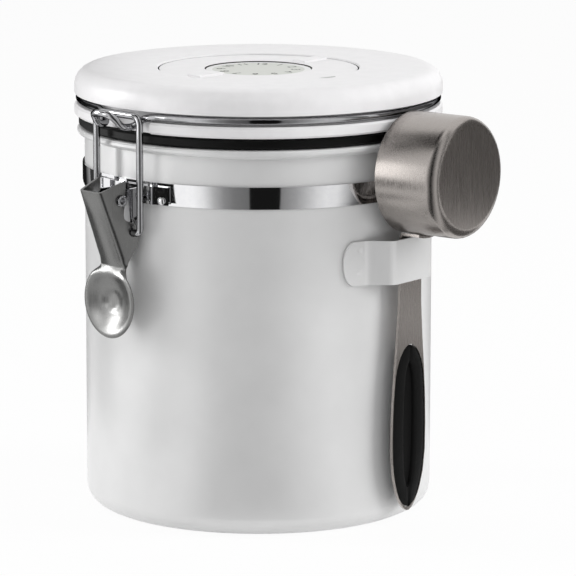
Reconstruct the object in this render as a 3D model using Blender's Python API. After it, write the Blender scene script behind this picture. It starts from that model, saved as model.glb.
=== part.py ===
"""Coffee canister with a wire-clamped lid, a date dial and a measuring scoop.

Metres, +Z up. The origin is at the middle of the base. The clamp faces -Y, the hinge faces +Y and the
scoop hangs near +X. Pieces at the wall are drawn with X pointing away from the canister's axis and Y along
the wall, and are then turned about the axis to their place.
"""

import math

import bmesh
import bpy
from mathutils import Matrix, Vector

# Clearances
GAP = 0.0003
CUT_OVERRUN = 0.002

# Roundness
ROUND_STEPS = 64
DIAL_STEPS = 56
CUP_STEPS = 48
SMALL_STEPS = 16
CORNER_STEPS = 5
WIRE_BEVEL_RESOLUTION = 2
SMOOTH_ANGLE = math.radians(35)

# Directions of the fittings about the axis
LATCH_DIRECTION = math.radians(-90)
HINGE_DIRECTION = math.radians(90)
HOLDER_DIRECTION = math.radians(8.5)
SCOOP_DIRECTION = math.radians(9.0)

# Can
BODY_RADIUS = 0.0610
BODY_WALL = 0.0007
RIM_HEIGHT = 0.1343
BASE_FILLET = 0.0064
BEAD_OUT = 0.0026
BEAD_HEIGHT = 0.0025

# Lid
LID_OVERHANG = 0.0035
SEAL_THICKNESS = 0.0035
SEAL_WIDTH = 0.0042
SEAL_INSET = 0.0015
SEAL_EDGE = 0.0007
FLANGE_THICKNESS = 0.0039
FLANGE_EDGE = 0.0007
GROOVE_DEPTH = 0.0032
GROOVE_HEIGHT = 0.00375
COVER_HEIGHT = 0.00875
COVER_WALL = 0.0023
COVER_EDGE_RADIUS = 0.0060
COVER_DISH = 0.0004
PLUG_DEPTH = 0.0099
PLUG_TAPER = 0.0063
PLUG_WALL = 0.0018
PLUG_HIP_SHARE = 0.65
PLUG_HIP_TAPER_SHARE = 0.48
NECK_WALL = 0.0040
NECK_STEP = 0.0030
PLATE_THICKNESS = 0.0015
NOTCH_HALF_WIDTH = 0.0135
NOTCH_DEPTH = 0.0034
BOSS_RADIUS = 0.0032
BOSS_INSET = 0.0061
SCREW_COUNT = 4
SCREW_RADIUS = 0.0012
SCREW_LENGTH = 0.0085
SCREW_HEAD_RADIUS = 0.0027
SCREW_HEAD_HEIGHT = 0.0012

# Dial
DIAL_RADIUS = 0.0348
DIAL_DROP = 0.0009
DIAL_FLOOR = 0.0018
DIAL_CLEARANCE = 0.0005
RING_THICKNESS = 0.0023
RING_LEDGE_THICKNESS = 0.0008
RING_LEDGE_RADIUS = 0.0120
DISC_RADIUS = 0.0184
DISC_THICKNESS = 0.0008
DISC_DROP = 0.0004
AXLE_RADIUS = 0.0030
AXLE_BORE_RADIUS = 0.0016
DIAL_SCREW_HEAD_RADIUS = 0.0050
DIAL_SCREW_HEAD_HEIGHT = 0.0014
DIAL_SCREW_LENGTH = 0.0028
GRIP_INNER_RADIUS = 0.0205
GRIP_OUTER_RADIUS = 0.0330
GRIP_WIDTH = 0.0060
GRIP_HEIGHT = 0.0008
GRIP_EDGE = 0.0003
GRIP_DIRECTIONS = (math.radians(-86), math.radians(94))

# Gas valve
VALVE_NECK_RADIUS = 0.0090
VALVE_FLANGE_WIDTH = 0.0020
VALVE_FLANGE_THICKNESS = 0.0010
VALVE_NECK_LENGTH = 0.0024
VALVE_HOLE_RADIUS = 0.0011
VALVE_HOLE_CIRCLE = 0.0045
VALVE_HOLES = 6
FLAP_RADIUS = 0.0072
FLAP_THICKNESS = 0.0008
FLAP_TRAVEL = 0.0012
CAP_WALL = 0.0012
CAP_VENT_RADIUS = 0.0030

# Wire
RING_WIRE_RADIUS = 0.0012
LINK_WIRE_RADIUS = 0.0012
LINK_CORNER_RADIUS = 0.0031

# Neck band
BAND_DROP = 0.0127
BAND_WIDTH = 0.0076
BAND_THICKNESS = 0.0005
BAND_LIP = 0.0014
BAND_LIP_IN = 0.0003

# Brackets on the band
BRACKET_THICKNESS = 0.0007
BRACKET_HALF_SPAN = 0.0188
BRACKET_TOP_DROP = 0.0012
BRACKET_TONGUE_HALF_WIDTH = 0.0055
BRACKET_TONGUE_SLOPE = 0.0014
LATCH_TONGUE_DROP = 0.0142
HINGE_TONGUE_DROP = 0.0080
BRACKET_WING_DROP = 0.0062
RIDGE_ARC = 0.0128
RIDGE_WIDTH = 0.0010
RIDGE_OUT = 0.0005
RIVET_ARC = 0.0164
RIVET_DROP = 0.0060
RIVET_SHANK_RADIUS = 0.0009
RIVET_HOLE_RADIUS = 0.0012
RIVET_HEAD_RADIUS = 0.0014
RIVET_HEAD_HEIGHT = 0.0008
LATCH_EAR_OUTER = 0.0044
HINGE_EAR_OUTER = 0.0069
EAR_THICKNESS = 0.0008
EAR_MARGIN = 0.0030
LATCH_EAR_TOP = 0.0032
LATCH_EAR_BOTTOM = 0.0093
HINGE_EAR_BOTTOM = 0.0042
PIN_RADIUS = 0.0015
LATCH_PIN_HEAD_RADIUS = 0.0020
HINGE_PIN_HEAD_RADIUS = 0.0026
PIN_HEAD_LENGTH = 0.0005

# Clamp lever and link
LEVER_PIVOT_OUT = 0.0088
LEVER_PIVOT_DROP = 0.0188
LINK_PIVOT_IN = 0.0045
LINK_PIVOT_DROP = 0.0113
LINK_HALF_WIDTH = 0.0111
LINK_TIP_IN = 0.0052
LEVER_THICKNESS = 0.0009
LEVER_TOP_OUT = 0.0083
LEVER_TOP_RISE = 0.0033
LEVER_NECK_DROP = 0.0231
LEVER_NECK_IN = 0.0016
LEVER_STRAP_TOP_HALF_WIDTH = 0.0049
LEVER_STRAP_NECK_HALF_WIDTH = 0.0057
LEVER_FLARE = 0.17
LEVER_WING_FLARE = 0.26
TAB_RADIUS = 0.0125
TAB_DISH_RADIUS = 0.0103
TAB_DISH_DEPTH = 0.0020
TAB_RIM_OUT = 0.0004

# Hook in the lid's wire
HOOK_HALF_WIDTH = 0.0063
HOOK_REACH = 0.0078
HOOK_DIP = 0.0038
HOOK_TIP_RISE = 0.0010
HOOK_ROOT_HALF_WIDTH = 0.0150

# Hinge
HINGE_OUT = 0.0083
HINGE_DROP = 0.0163
EYE_RADIUS = 0.0030
HINGE_LEG_HALF_SPACING = 0.0100
HINGE_WIRE_CORNER = 0.0030
EYE_END_ANGLE = math.radians(440)

# Scoop holder
HOLDER_DROP = 0.0482
HOLDER_WIDTH = 0.0152
HOLDER_THICKNESS = 0.0009
HOLDER_FRONT_OUT = 0.0064
HOLDER_FRONT_HALF_WIDTH = 0.0113
HOLDER_FOOT_ARC = 0.0176
HOLDER_END_ARC = 0.0262
HOLDER_END_ROUND = 0.0044

# Scoop
CUP_RADIUS = 0.0209
CUP_DEPTH = 0.0245
CUP_WALL = 0.0007
CUP_FILLET = 0.0036
HANDLE_THICKNESS = 0.0010
HANDLE_TOP_HALF_WIDTH = 0.0060
HANDLE_WIDE_HALF_WIDTH = 0.0097
HANDLE_WIDE_SHARE = 0.70
HANDLE_NARROW_SHARE = 0.16
HANDLE_TIP_HEIGHT = 0.0047
HANDLE_TIP_LENGTH = 0.0240
HANDLE_LEAN = 0.0075
TONGUE_LENGTH = 0.0080
SCOOP_LIFT = 0.1050
SCOOP_CLEARANCE = 0.0004
GRIP_RIM = 0.0004
INSERT_TOP_SHARE = 0.39
INSERT_TOP_ROUND = 0.0120
INSERT_BOTTOM_ROUND = 0.0030
INSERT_GROOVE_DEPTH = 0.0010
INSERT_THICKNESS = 0.0014
INSERT_GROOVE_HALF_WIDTH = 0.0030

# Places worked out from the sizes above
LID_RADIUS = BODY_RADIUS + LID_OVERHANG
SEAL_BOTTOM = RIM_HEIGHT + GAP
SEAL_TOP = SEAL_BOTTOM + SEAL_THICKNESS
FLANGE_BOTTOM = SEAL_TOP + GAP
FLANGE_TOP = FLANGE_BOTTOM + FLANGE_THICKNESS
GROOVE_MIDDLE = FLANGE_TOP + GROOVE_HEIGHT / 2
COVER_BOTTOM = FLANGE_TOP + GROOVE_HEIGHT
COVER_TOP = COVER_BOTTOM + COVER_HEIGHT
GROOVE_RADIUS = LID_RADIUS - GROOVE_DEPTH
WIRE_RING_RADIUS = GROOVE_RADIUS + RING_WIRE_RADIUS + GAP
SEAL_OUTER = BODY_RADIUS + BEAD_OUT - SEAL_INSET + LID_OVERHANG - BEAD_OUT
SEAL_INNER = SEAL_OUTER - SEAL_WIDTH
PLUG_RADIUS = SEAL_INNER - GAP
PLUG_BOTTOM = FLANGE_BOTTOM - PLUG_DEPTH
PLUG_BOTTOM_RADIUS = PLUG_RADIUS - PLUG_TAPER
PLUG_BORE = PLUG_BOTTOM_RADIUS - PLUG_WALL
NECK_BORE = GROOVE_RADIUS - NECK_WALL
COVER_UNDERSIDE = COVER_TOP - COVER_WALL
PLATE_BOTTOM = PLUG_BOTTOM
PLATE_TOP = PLATE_BOTTOM + PLATE_THICKNESS
PLATE_RADIUS = PLUG_BORE - GAP
BOSS_CIRCLE = PLATE_RADIUS - BOSS_INSET
RECESS_RADIUS = DIAL_RADIUS + DIAL_CLEARANCE
RING_TOP = COVER_TOP - DIAL_DROP
RING_BOTTOM = RING_TOP - RING_THICKNESS
RECESS_FLOOR = RING_BOTTOM - GAP
RECESS_UNDERSIDE = RECESS_FLOOR - DIAL_FLOOR
DISC_TOP = RING_TOP - DISC_DROP
DISC_BOTTOM = DISC_TOP - DISC_THICKNESS
AXLE_BOTTOM = RECESS_UNDERSIDE
AXLE_HOLE_RADIUS = AXLE_RADIUS + GAP
BAND_TOP = RIM_HEIGHT - BAND_DROP
BAND_BOTTOM = BAND_TOP - BAND_WIDTH
BAND_INNER = BODY_RADIUS + GAP
BAND_OUTER = BAND_INNER + BAND_THICKNESS
BRACKET_INNER = BAND_OUTER + GAP
BRACKET_OUTER = BRACKET_INNER + BRACKET_THICKNESS
BRACKET_MIDDLE = (BRACKET_INNER + BRACKET_OUTER) / 2
LEVER_PIVOT = Vector((BODY_RADIUS + LEVER_PIVOT_OUT, 0, RIM_HEIGHT - LEVER_PIVOT_DROP))
LINK_PIVOT = LEVER_PIVOT - Vector((LINK_PIVOT_IN, 0, LINK_PIVOT_DROP))
HINGE_AXIS = Vector((BODY_RADIUS + HINGE_OUT, 0, RIM_HEIGHT - HINGE_DROP))
HOLDER_BOTTOM = RIM_HEIGHT - HOLDER_DROP
HOLDER_TOP = HOLDER_BOTTOM + HOLDER_WIDTH
HOLDER_FRONT_INNER = BODY_RADIUS + HOLDER_FRONT_OUT - HOLDER_THICKNESS / 2
HANDLE_PLANE = HOLDER_FRONT_INNER - SCOOP_CLEARANCE - HANDLE_THICKNESS / 2
TONGUE_HEIGHT = HOLDER_TOP + GAP + HANDLE_THICKNESS / 2
CUP_HEIGHT = TONGUE_HEIGHT + HANDLE_THICKNESS / 2 + GAP + CUP_RADIUS
CUP_RIM = HANDLE_PLANE
HANDLE_BEND_RADIUS = HANDLE_THICKNESS / 2 + GAP


def finish(name, colour, roughness, metallic=0.0):
    """A plain material with a colour, a roughness and a metallic value."""
    material = bpy.data.materials.new(name)
    material.use_nodes = True
    shader = material.node_tree.nodes["Principled BSDF"]
    shader.inputs["Base Color"].default_value = (*colour, 1)
    shader.inputs["Roughness"].default_value = roughness
    shader.inputs["Metallic"].default_value = metallic
    material.diffuse_color = (*colour, 1)
    return material


def new_piece(name, mesh_builder, material, direction=0.0):
    """Turns a bmesh about the canister's axis, makes an object of it and shades it smooth."""
    mesh_builder.transform(Matrix.Rotation(direction, 4, "Z"))
    mesh = bpy.data.meshes.new(name)
    mesh_builder.to_mesh(mesh)
    mesh_builder.free()
    mesh.materials.append(material)
    mesh.shade_smooth()
    mesh.set_sharp_from_angle(angle=SMOOTH_ANGLE)
    piece = bpy.data.objects.new(name, mesh)
    bpy.context.scene.collection.objects.link(piece)
    return piece


def turned_mesh(profile, steps):
    """A solid of revolution about Z from a closed outline of (radius, height) points."""
    bm = bmesh.new()
    points = [bm.verts.new((radius, 0, height)) for radius, height in profile]
    edges = [bm.edges.new((a, b)) for a, b in zip(points, points[1:] + points[:1])]
    bmesh.ops.spin(
        bm, geom=points + edges, cent=(0, 0, 0), axis=(0, 0, 1), angle=math.tau, steps=steps, use_merge=True
    )
    merge_and_face_out(bm)
    return bm


def merge_and_face_out(bm):
    """Merges the points that meet, drops what has no area and turns every face outwards."""
    nearest = GAP / 100
    bmesh.ops.remove_doubles(bm, verts=bm.verts, dist=nearest)
    bmesh.ops.dissolve_degenerate(bm, edges=bm.edges, dist=nearest)
    loose = [edge for edge in bm.edges if not edge.link_faces]
    bmesh.ops.delete(bm, geom=loose, context="EDGES")
    bmesh.ops.recalc_face_normals(bm, faces=bm.faces)


def arc(middle_radius, middle_height, radius, start, end, steps=CORNER_STEPS):
    """Points (radius, height) along a round corner, with angles in degrees from straight out."""
    turns = [math.radians(start + (end - start) * step / steps) for step in range(steps + 1)]
    return [(middle_radius + radius * math.cos(t), middle_height + radius * math.sin(t)) for t in turns]


def plate_mesh(outline, thickness, middle=0.0):
    """A flat plate from an outline of (x, z) points, thick along Y about the given middle."""
    bm = bmesh.new()
    face = bm.faces.new([bm.verts.new((x, middle - thickness / 2, z)) for x, z in outline])
    side = bmesh.ops.extrude_face_region(bm, geom=[face])["geom"]
    moved = [item for item in side if isinstance(item, bmesh.types.BMVert)]
    bmesh.ops.translate(bm, verts=moved, vec=(0, thickness, 0))
    bmesh.ops.recalc_face_normals(bm, faces=bm.faces)
    return bm


def rod_mesh(radius, start, end, along, middle, steps=SMALL_STEPS):
    """A straight rod along X, Y or Z between two places on that axis, through the middle point."""
    bm = bmesh.new()
    turn = {"X": Matrix.Rotation(math.radians(90), 4, "Y"), "Y": Matrix.Rotation(math.radians(90), 4, "X")}
    bmesh.ops.create_cone(
        bm, cap_ends=True, segments=steps, radius1=radius, radius2=radius, depth=end - start
    )
    bm.transform(turn.get(along, Matrix.Identity(4)))
    axis = "XYZ".index(along)
    place = Vector(middle)
    place[axis] = (start + end) / 2
    bmesh.ops.translate(bm, verts=bm.verts, vec=place)
    return bm


def joined(parts):
    """One bmesh that holds several separate closed shapes."""
    whole = bmesh.new()
    for bm in parts:
        mesh = bpy.data.meshes.new("joined_part")
        bm.to_mesh(mesh)
        bm.free()
        whole.from_mesh(mesh)
        bpy.data.meshes.remove(mesh)
    return whole


def shape_by(piece, operation, tool_mesh, label, direction=0.0):
    """Adds a Boolean that joins or cuts with a hidden helper shape."""
    tool = new_piece(f"{piece.name}_{label}", tool_mesh, piece.data.materials[0], direction)
    tool.hide_render = True
    tool.display_type = "WIRE"
    step = piece.modifiers.new(label, "BOOLEAN")
    step.operation = operation
    step.solver = "EXACT"
    step.object = tool


def sheet(name, rows, thickness, material, direction=0.0):
    """A bent sheet: a grid of middle points, given its thickness by a Solidify modifier."""
    bm = bmesh.new()
    grid = [[bm.verts.new(point) for point in row] for row in rows]
    for low, high in zip(grid, grid[1:]):
        for column in range(len(low) - 1):
            bm.faces.new((low[column], low[column + 1], high[column + 1], high[column]))
    piece = new_piece(name, bm, material, direction)
    solid = piece.modifiers.new("thickness", "SOLIDIFY")
    solid.thickness = thickness
    solid.offset = 0
    solid.use_even_offset = True
    return piece


def wire(name, points, radius, material, direction=0.0):
    """A round wire with closed ends along a path."""
    curve = bpy.data.curves.new(name, "CURVE")
    curve.dimensions = "3D"
    curve.bevel_depth = radius
    curve.bevel_resolution = WIRE_BEVEL_RESOLUTION
    curve.use_fill_caps = True
    spline = curve.splines.new("POLY")
    spline.points.add(len(points) - 1)
    turn = Matrix.Rotation(direction, 4, "Z")
    for target, point in zip(spline.points, points):
        target.co = (*(turn @ Vector(point)), 1)
    curve.materials.append(material)
    piece = bpy.data.objects.new(name, curve)
    bpy.context.scene.collection.objects.link(piece)
    return piece


def smooth_path(points, steps):
    """A smooth curve through hand-set points, with the same number of steps in each span."""
    points = [Vector(point) for point in points]
    ends = [2 * points[0] - points[1], *points, 2 * points[-1] - points[-2]]
    path = []
    for before, start, end, after in zip(ends, ends[1:], ends[2:], ends[3:]):
        for step in range(steps):
            t = step / steps
            pull = (end - before) * t + (2 * before - 5 * start + 4 * end - after) * t**2
            path.append(start + (pull + (3 * start - before - 3 * end + after) * t**3) / 2)
    return path + [points[-1]]


def at_wall(arc_length, radius, height):
    """A point at a distance along the wall from the local X axis, on a cylinder of the given radius."""
    angle = arc_length / BODY_RADIUS
    return Vector((radius * math.cos(angle), radius * math.sin(angle), height))


def can_body(white):
    """The drawn can: one wall from the rolled rim bead down to the flat base, open at the mouth."""
    inner = BODY_RADIUS - BODY_WALL
    bead_outer = BODY_RADIUS + BEAD_OUT
    bead_round = BEAD_HEIGHT / 2
    fillet_middle = BODY_RADIUS - BASE_FILLET
    profile = [(0, 0)] + arc(fillet_middle, BASE_FILLET, BASE_FILLET, -90, 0)
    profile += [(BODY_RADIUS, RIM_HEIGHT - BEAD_HEIGHT - BODY_WALL)]
    profile += arc(bead_outer - bead_round, RIM_HEIGHT - bead_round, bead_round, -90, 90)
    profile += [(inner + BODY_WALL, RIM_HEIGHT), (inner, RIM_HEIGHT - BODY_WALL)]
    profile += arc(fillet_middle, BASE_FILLET, BASE_FILLET - BODY_WALL, 0, -90)
    profile += [(0, BODY_WALL)]
    return new_piece("canister_body", turned_mesh(profile, ROUND_STEPS), white)


def rivet_rods(radius):
    """Rods through the band where the brackets' four rivets sit."""
    rods = []
    for direction in (LATCH_DIRECTION, HINGE_DIRECTION):
        for side in (-1, 1):
            reach = (BODY_RADIUS - CUT_OVERRUN, BRACKET_OUTER + CUT_OVERRUN)
            rod = rod_mesh(radius, *reach, "X", (0, 0, BAND_TOP - RIVET_DROP))
            rod.transform(Matrix.Rotation(direction + side * RIVET_ARC / BODY_RADIUS, 4, "Z"))
            rods.append(rod)
    return rods


def neck_band(steel):
    """The strap round the neck, with a bevelled lower edge and holes for the rivets."""
    profile = [
        (BAND_INNER, BAND_BOTTOM),
        (BAND_OUTER - BAND_LIP_IN, BAND_BOTTOM),
        (BAND_OUTER, BAND_BOTTOM + BAND_LIP),
        (BAND_OUTER, BAND_TOP),
        (BAND_INNER, BAND_TOP),
    ]
    band = new_piece("neck_band", turned_mesh(profile, ROUND_STEPS), steel)
    shape_by(band, "DIFFERENCE", joined(rivet_rods(RIVET_HOLE_RADIUS)), "rivet_holes")
    return band


def bracket(name, direction, pivot, ear_outer, tongue_drop, ear_top, ear_bottom, steel):
    """A pressed bracket: two wings on the band, a tongue between them and two ears that hold a pin."""
    arcs = [0, BRACKET_TONGUE_HALF_WIDTH / 2, BRACKET_TONGUE_HALF_WIDTH]
    arcs += [BRACKET_TONGUE_HALF_WIDTH + BRACKET_TONGUE_SLOPE, (BRACKET_TONGUE_HALF_WIDTH + RIDGE_ARC) / 2]
    arcs += [RIDGE_ARC - RIDGE_WIDTH, RIDGE_ARC - RIDGE_WIDTH / 2, RIDGE_ARC + RIDGE_WIDTH / 2]
    arcs += [RIDGE_ARC + RIDGE_WIDTH, RIVET_ARC, BRACKET_HALF_SPAN]
    ridge = {RIDGE_ARC - RIDGE_WIDTH / 2, RIDGE_ARC + RIDGE_WIDTH / 2}
    stations = [-a for a in reversed(arcs[1:])] + arcs
    top = BAND_TOP - BRACKET_TOP_DROP
    rows = []
    for share in (0, 0.5, 1):
        row = []
        for place in stations:
            drop = tongue_drop if abs(place) <= BRACKET_TONGUE_HALF_WIDTH else BRACKET_WING_DROP
            radius = BRACKET_MIDDLE + (RIDGE_OUT if abs(place) in ridge else 0)
            row.append(at_wall(place, radius, top - drop * (1 - share)))
        rows.append(row)
    piece = sheet(name, rows, BRACKET_THICKNESS, steel, direction)
    margin = EAR_MARGIN
    root = BRACKET_MIDDLE - BODY_RADIUS * (1 - math.cos(ear_outer / BODY_RADIUS))
    high, low = min(pivot.z + ear_top, top), pivot.z - ear_bottom
    outline = [(root, high), (pivot.x, high), (pivot.x + margin, high - margin)]
    outline += [(pivot.x + margin, pivot.z - margin), (pivot.x, low), (root + margin, low)]
    outline += [(root, low + margin)]
    ears = [
        plate_mesh(outline, EAR_THICKNESS, side * (ear_outer - EAR_THICKNESS / 2)) for side in (-1, 1)
    ]
    shape_by(piece, "UNION", joined(ears), "ears", direction)
    reach = ear_outer + CUT_OVERRUN
    hole = rod_mesh(PIN_RADIUS + GAP, -reach, reach, "Y", pivot)
    shape_by(piece, "DIFFERENCE", hole, "pin_hole", direction)
    shape_by(piece, "DIFFERENCE", joined(rivet_rods(RIVET_HOLE_RADIUS)), "rivet_holes")
    return piece


def rivet(name, direction, side, steel):
    """One rivet that holds a bracket's wing to the band: shank and domed head."""
    head_base = BRACKET_OUTER + GAP
    dome = arc(0, head_base, RIVET_HEAD_HEIGHT, 90, 0, SMALL_STEPS // 4)
    head = [(r * RIVET_HEAD_RADIUS / RIVET_HEAD_HEIGHT, z) for r, z in dome]
    profile = [*head, (RIVET_SHANK_RADIUS, head_base), (RIVET_SHANK_RADIUS, BAND_INNER), (0, BAND_INNER)]
    bm = turned_mesh(profile, SMALL_STEPS)
    bm.transform(Matrix.Rotation(math.radians(90), 4, "Y"))
    bmesh.ops.translate(bm, verts=bm.verts, vec=(0, 0, BAND_TOP - RIVET_DROP))
    return new_piece(name, bm, steel, direction + side * RIVET_ARC / BODY_RADIUS)


def headed_pin(name, pivot, half_length, head_radius, direction, steel):
    """A pin along the wall with a round head at each end."""
    inner, outer = half_length, half_length + PIN_HEAD_LENGTH
    profile = [(0, -outer), (head_radius, -outer), (head_radius, -inner), (PIN_RADIUS, -inner)]
    profile += [(PIN_RADIUS, inner), (head_radius, inner), (head_radius, outer), (0, outer)]
    bm = turned_mesh(profile, SMALL_STEPS)
    bm.transform(Matrix.Rotation(math.radians(90), 4, "X"))
    bmesh.ops.translate(bm, verts=bm.verts, vec=pivot)
    return new_piece(name, bm, steel, direction)


def scoop_holder(white):
    """A bent strip on the wall whose flat front stands off and leaves a slot for the scoop's handle."""
    foot_radius = BODY_RADIUS + GAP + HOLDER_THICKNESS / 2
    front = Vector((BODY_RADIUS + HOLDER_FRONT_OUT, HOLDER_FRONT_HALF_WIDTH, 0))
    foot = at_wall(HOLDER_FOOT_ARC, foot_radius, 0)
    half = HOLDER_WIDTH / 2
    side = [(front, half)]
    for share in (0.3, 0.6, 0.85):
        drop = math.sin(math.radians(90) * share)
        place = (front.x + (foot.x - front.x) * drop, front.y + (foot.y - front.y) * share, 0)
        side.append((Vector(place), half))
    side.append((foot, half))
    end = HOLDER_END_ARC - HOLDER_THICKNESS
    for share in (0, 0.35, 0.6, 0.8, 0.93, 0.985):
        arc_length = end - HOLDER_END_ROUND * (1 - share)
        side.append((at_wall(arc_length, foot_radius, 0), half * math.sqrt(1 - share**2)))
    mirrored = [(Vector((point.x, -point.y, 0)), height) for point, height in reversed(side)]
    strip = mirrored + [(Vector((front.x, 0, 0)), half)] + side
    middle = HOLDER_BOTTOM + half
    rows = [
        [Vector((point.x, point.y, middle + share * height)) for point, height in strip]
        for share in (-1, 0, 1)
    ]
    return sheet("scoop_holder", rows, HOLDER_THICKNESS, white, HOLDER_DIRECTION)


def lid_cover(white):
    """The lid's top shell, with a dished top, the dial's recess and bosses for the screws."""
    edge = COVER_EDGE_RADIUS
    inner_edge = max(edge - COVER_WALL, COVER_WALL / 2)
    skirt = LID_RADIUS - COVER_WALL
    recess_lip = COVER_TOP - COVER_DISH
    floor_wall = RECESS_RADIUS + COVER_WALL
    profile = [(skirt, COVER_BOTTOM), (LID_RADIUS, COVER_BOTTOM)]
    profile += arc(LID_RADIUS - edge, COVER_TOP - edge, edge, 0, 90)
    profile += [(RECESS_RADIUS + COVER_DISH, recess_lip), (RECESS_RADIUS, recess_lip - COVER_DISH)]
    profile += [(RECESS_RADIUS, RECESS_FLOOR), (AXLE_HOLE_RADIUS, RECESS_FLOOR)]
    profile += [(AXLE_HOLE_RADIUS, RECESS_UNDERSIDE), (floor_wall, RECESS_UNDERSIDE)]
    profile += [(floor_wall, COVER_UNDERSIDE)]
    profile += arc(skirt - inner_edge, COVER_UNDERSIDE - inner_edge, inner_edge, 90, 0)
    cover = new_piece("lid_cover", turned_mesh(profile, ROUND_STEPS), white)
    bosses, bores = [], []
    for index in range(SCREW_COUNT):
        turn = Matrix.Rotation(math.tau * (index + 0.5) / SCREW_COUNT, 4, "Z")
        place = turn @ Vector((BOSS_CIRCLE, 0, 0))
        boss_top = COVER_UNDERSIDE + COVER_WALL / 2
        bosses.append(rod_mesh(BOSS_RADIUS, PLATE_TOP + GAP, boss_top, "Z", place))
        bore_top = PLATE_BOTTOM + SCREW_LENGTH + CUT_OVERRUN
        bores.append(rod_mesh(SCREW_RADIUS + GAP, PLATE_BOTTOM, bore_top, "Z", place))
    room_low, room_radius = RING_BOTTOM - GAP / 2, DIAL_RADIUS + GAP
    dial_room = [(0, room_low), (room_radius, room_low), (room_radius, COVER_TOP), (0, COVER_TOP)]
    bores.append(turned_mesh(dial_room, ROUND_STEPS))
    shape_by(cover, "UNION", joined(bosses), "bosses")
    shape_by(cover, "DIFFERENCE", joined(bores), "bores")
    return cover


def lid_base(white):
    """The lid's lower ring: the flange, the core of the wire groove and the tapered plug."""
    edge = FLANGE_EDGE
    hip_height = FLANGE_BOTTOM - PLUG_DEPTH * PLUG_HIP_SHARE
    hip_radius = PLUG_RADIUS - PLUG_TAPER * PLUG_HIP_TAPER_SHARE
    inset_radius = GROOVE_RADIUS - NECK_STEP
    profile = [(PLUG_BORE, PLUG_BOTTOM), (PLUG_BOTTOM_RADIUS, PLUG_BOTTOM), (hip_radius, hip_height)]
    profile += [(PLUG_RADIUS, SEAL_BOTTOM), (PLUG_RADIUS, FLANGE_BOTTOM)]
    profile += [(LID_RADIUS - edge, FLANGE_BOTTOM), (LID_RADIUS, FLANGE_BOTTOM + edge)]
    profile += [(LID_RADIUS, FLANGE_TOP - edge), (LID_RADIUS - edge, FLANGE_TOP)]
    profile += [(GROOVE_RADIUS, FLANGE_TOP), (GROOVE_RADIUS, COVER_BOTTOM + COVER_WALL)]
    profile += [(inset_radius, COVER_BOTTOM + COVER_WALL), (inset_radius, COVER_UNDERSIDE - GAP)]
    profile += [(NECK_BORE, COVER_UNDERSIDE - GAP), (NECK_BORE, FLANGE_BOTTOM)]
    profile += [(hip_radius - PLUG_WALL, hip_height + PLUG_WALL), (PLUG_BORE, PLATE_TOP + PLUG_WALL)]
    base = new_piece("lid_base", turned_mesh(profile, ROUND_STEPS), white)
    notch = bmesh.new()
    bmesh.ops.create_cube(notch, size=1)
    low, high = FLANGE_BOTTOM - GAP, FLANGE_TOP + CUT_OVERRUN
    inner, outer = LID_RADIUS - NOTCH_DEPTH, LID_RADIUS + CUT_OVERRUN
    bmesh.ops.scale(notch, verts=notch.verts, vec=(outer - inner, 2 * NOTCH_HALF_WIDTH, high - low))
    bmesh.ops.translate(notch, verts=notch.verts, vec=((inner + outer) / 2, 0, (low + high) / 2))
    shape_by(base, "DIFFERENCE", notch, "hook_notch", LATCH_DIRECTION)
    return base


def lid_inner_plate(white):
    """The plate that closes the plug, with a hole for the valve and holes for the screws."""
    hole = VALVE_NECK_RADIUS + GAP
    profile = [(hole, PLATE_BOTTOM), (PLATE_RADIUS, PLATE_BOTTOM), (PLATE_RADIUS, PLATE_TOP), (hole, PLATE_TOP)]
    plate = new_piece("lid_inner_plate", turned_mesh(profile, ROUND_STEPS), white)
    holes = []
    for index in range(SCREW_COUNT):
        turn = Matrix.Rotation(math.tau * (index + 0.5) / SCREW_COUNT, 4, "Z")
        place = turn @ Vector((BOSS_CIRCLE, 0, 0))
        reach = (PLATE_BOTTOM - CUT_OVERRUN, PLATE_TOP + CUT_OVERRUN)
        holes.append(rod_mesh(SCREW_RADIUS + GAP, *reach, "Z", place))
    shape_by(plate, "DIFFERENCE", joined(holes), "screw_holes")
    return plate


def screw_mesh(head_radius, head_height, shank_radius, shank_length, seat):
    """A screw that points up, with its head under the seat height."""
    head_top = seat - GAP
    profile = [(0, head_top - head_height), (head_radius * 0.75, head_top - head_height)]
    profile += [(head_radius, head_top - head_height / 2), (head_radius, head_top)]
    profile += [(shank_radius, head_top), (shank_radius, head_top + shank_length), (0, head_top + shank_length)]
    return turned_mesh(profile, SMALL_STEPS)


def lid_screws(steel):
    """The screws that hold the inner plate to the cover's bosses."""
    made = []
    for index in range(SCREW_COUNT):
        bm = screw_mesh(SCREW_HEAD_RADIUS, SCREW_HEAD_HEIGHT, SCREW_RADIUS, SCREW_LENGTH, PLATE_BOTTOM)
        bmesh.ops.translate(bm, verts=bm.verts, vec=(BOSS_CIRCLE, 0, 0))
        made.append(new_piece(f"lid_screw_{index + 1}", bm, steel, math.tau * (index + 0.5) / SCREW_COUNT))
    return made


def lid_seal(rubber):
    """The gasket that lies between the flange and the rim bead."""
    edge = SEAL_EDGE
    profile = [(SEAL_INNER, SEAL_BOTTOM), (SEAL_OUTER - edge, SEAL_BOTTOM), (SEAL_OUTER, SEAL_BOTTOM + edge)]
    profile += [(SEAL_OUTER, SEAL_TOP - edge), (SEAL_OUTER - edge, SEAL_TOP), (SEAL_INNER, SEAL_TOP)]
    return new_piece("lid_seal", turned_mesh(profile, ROUND_STEPS), rubber)


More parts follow.
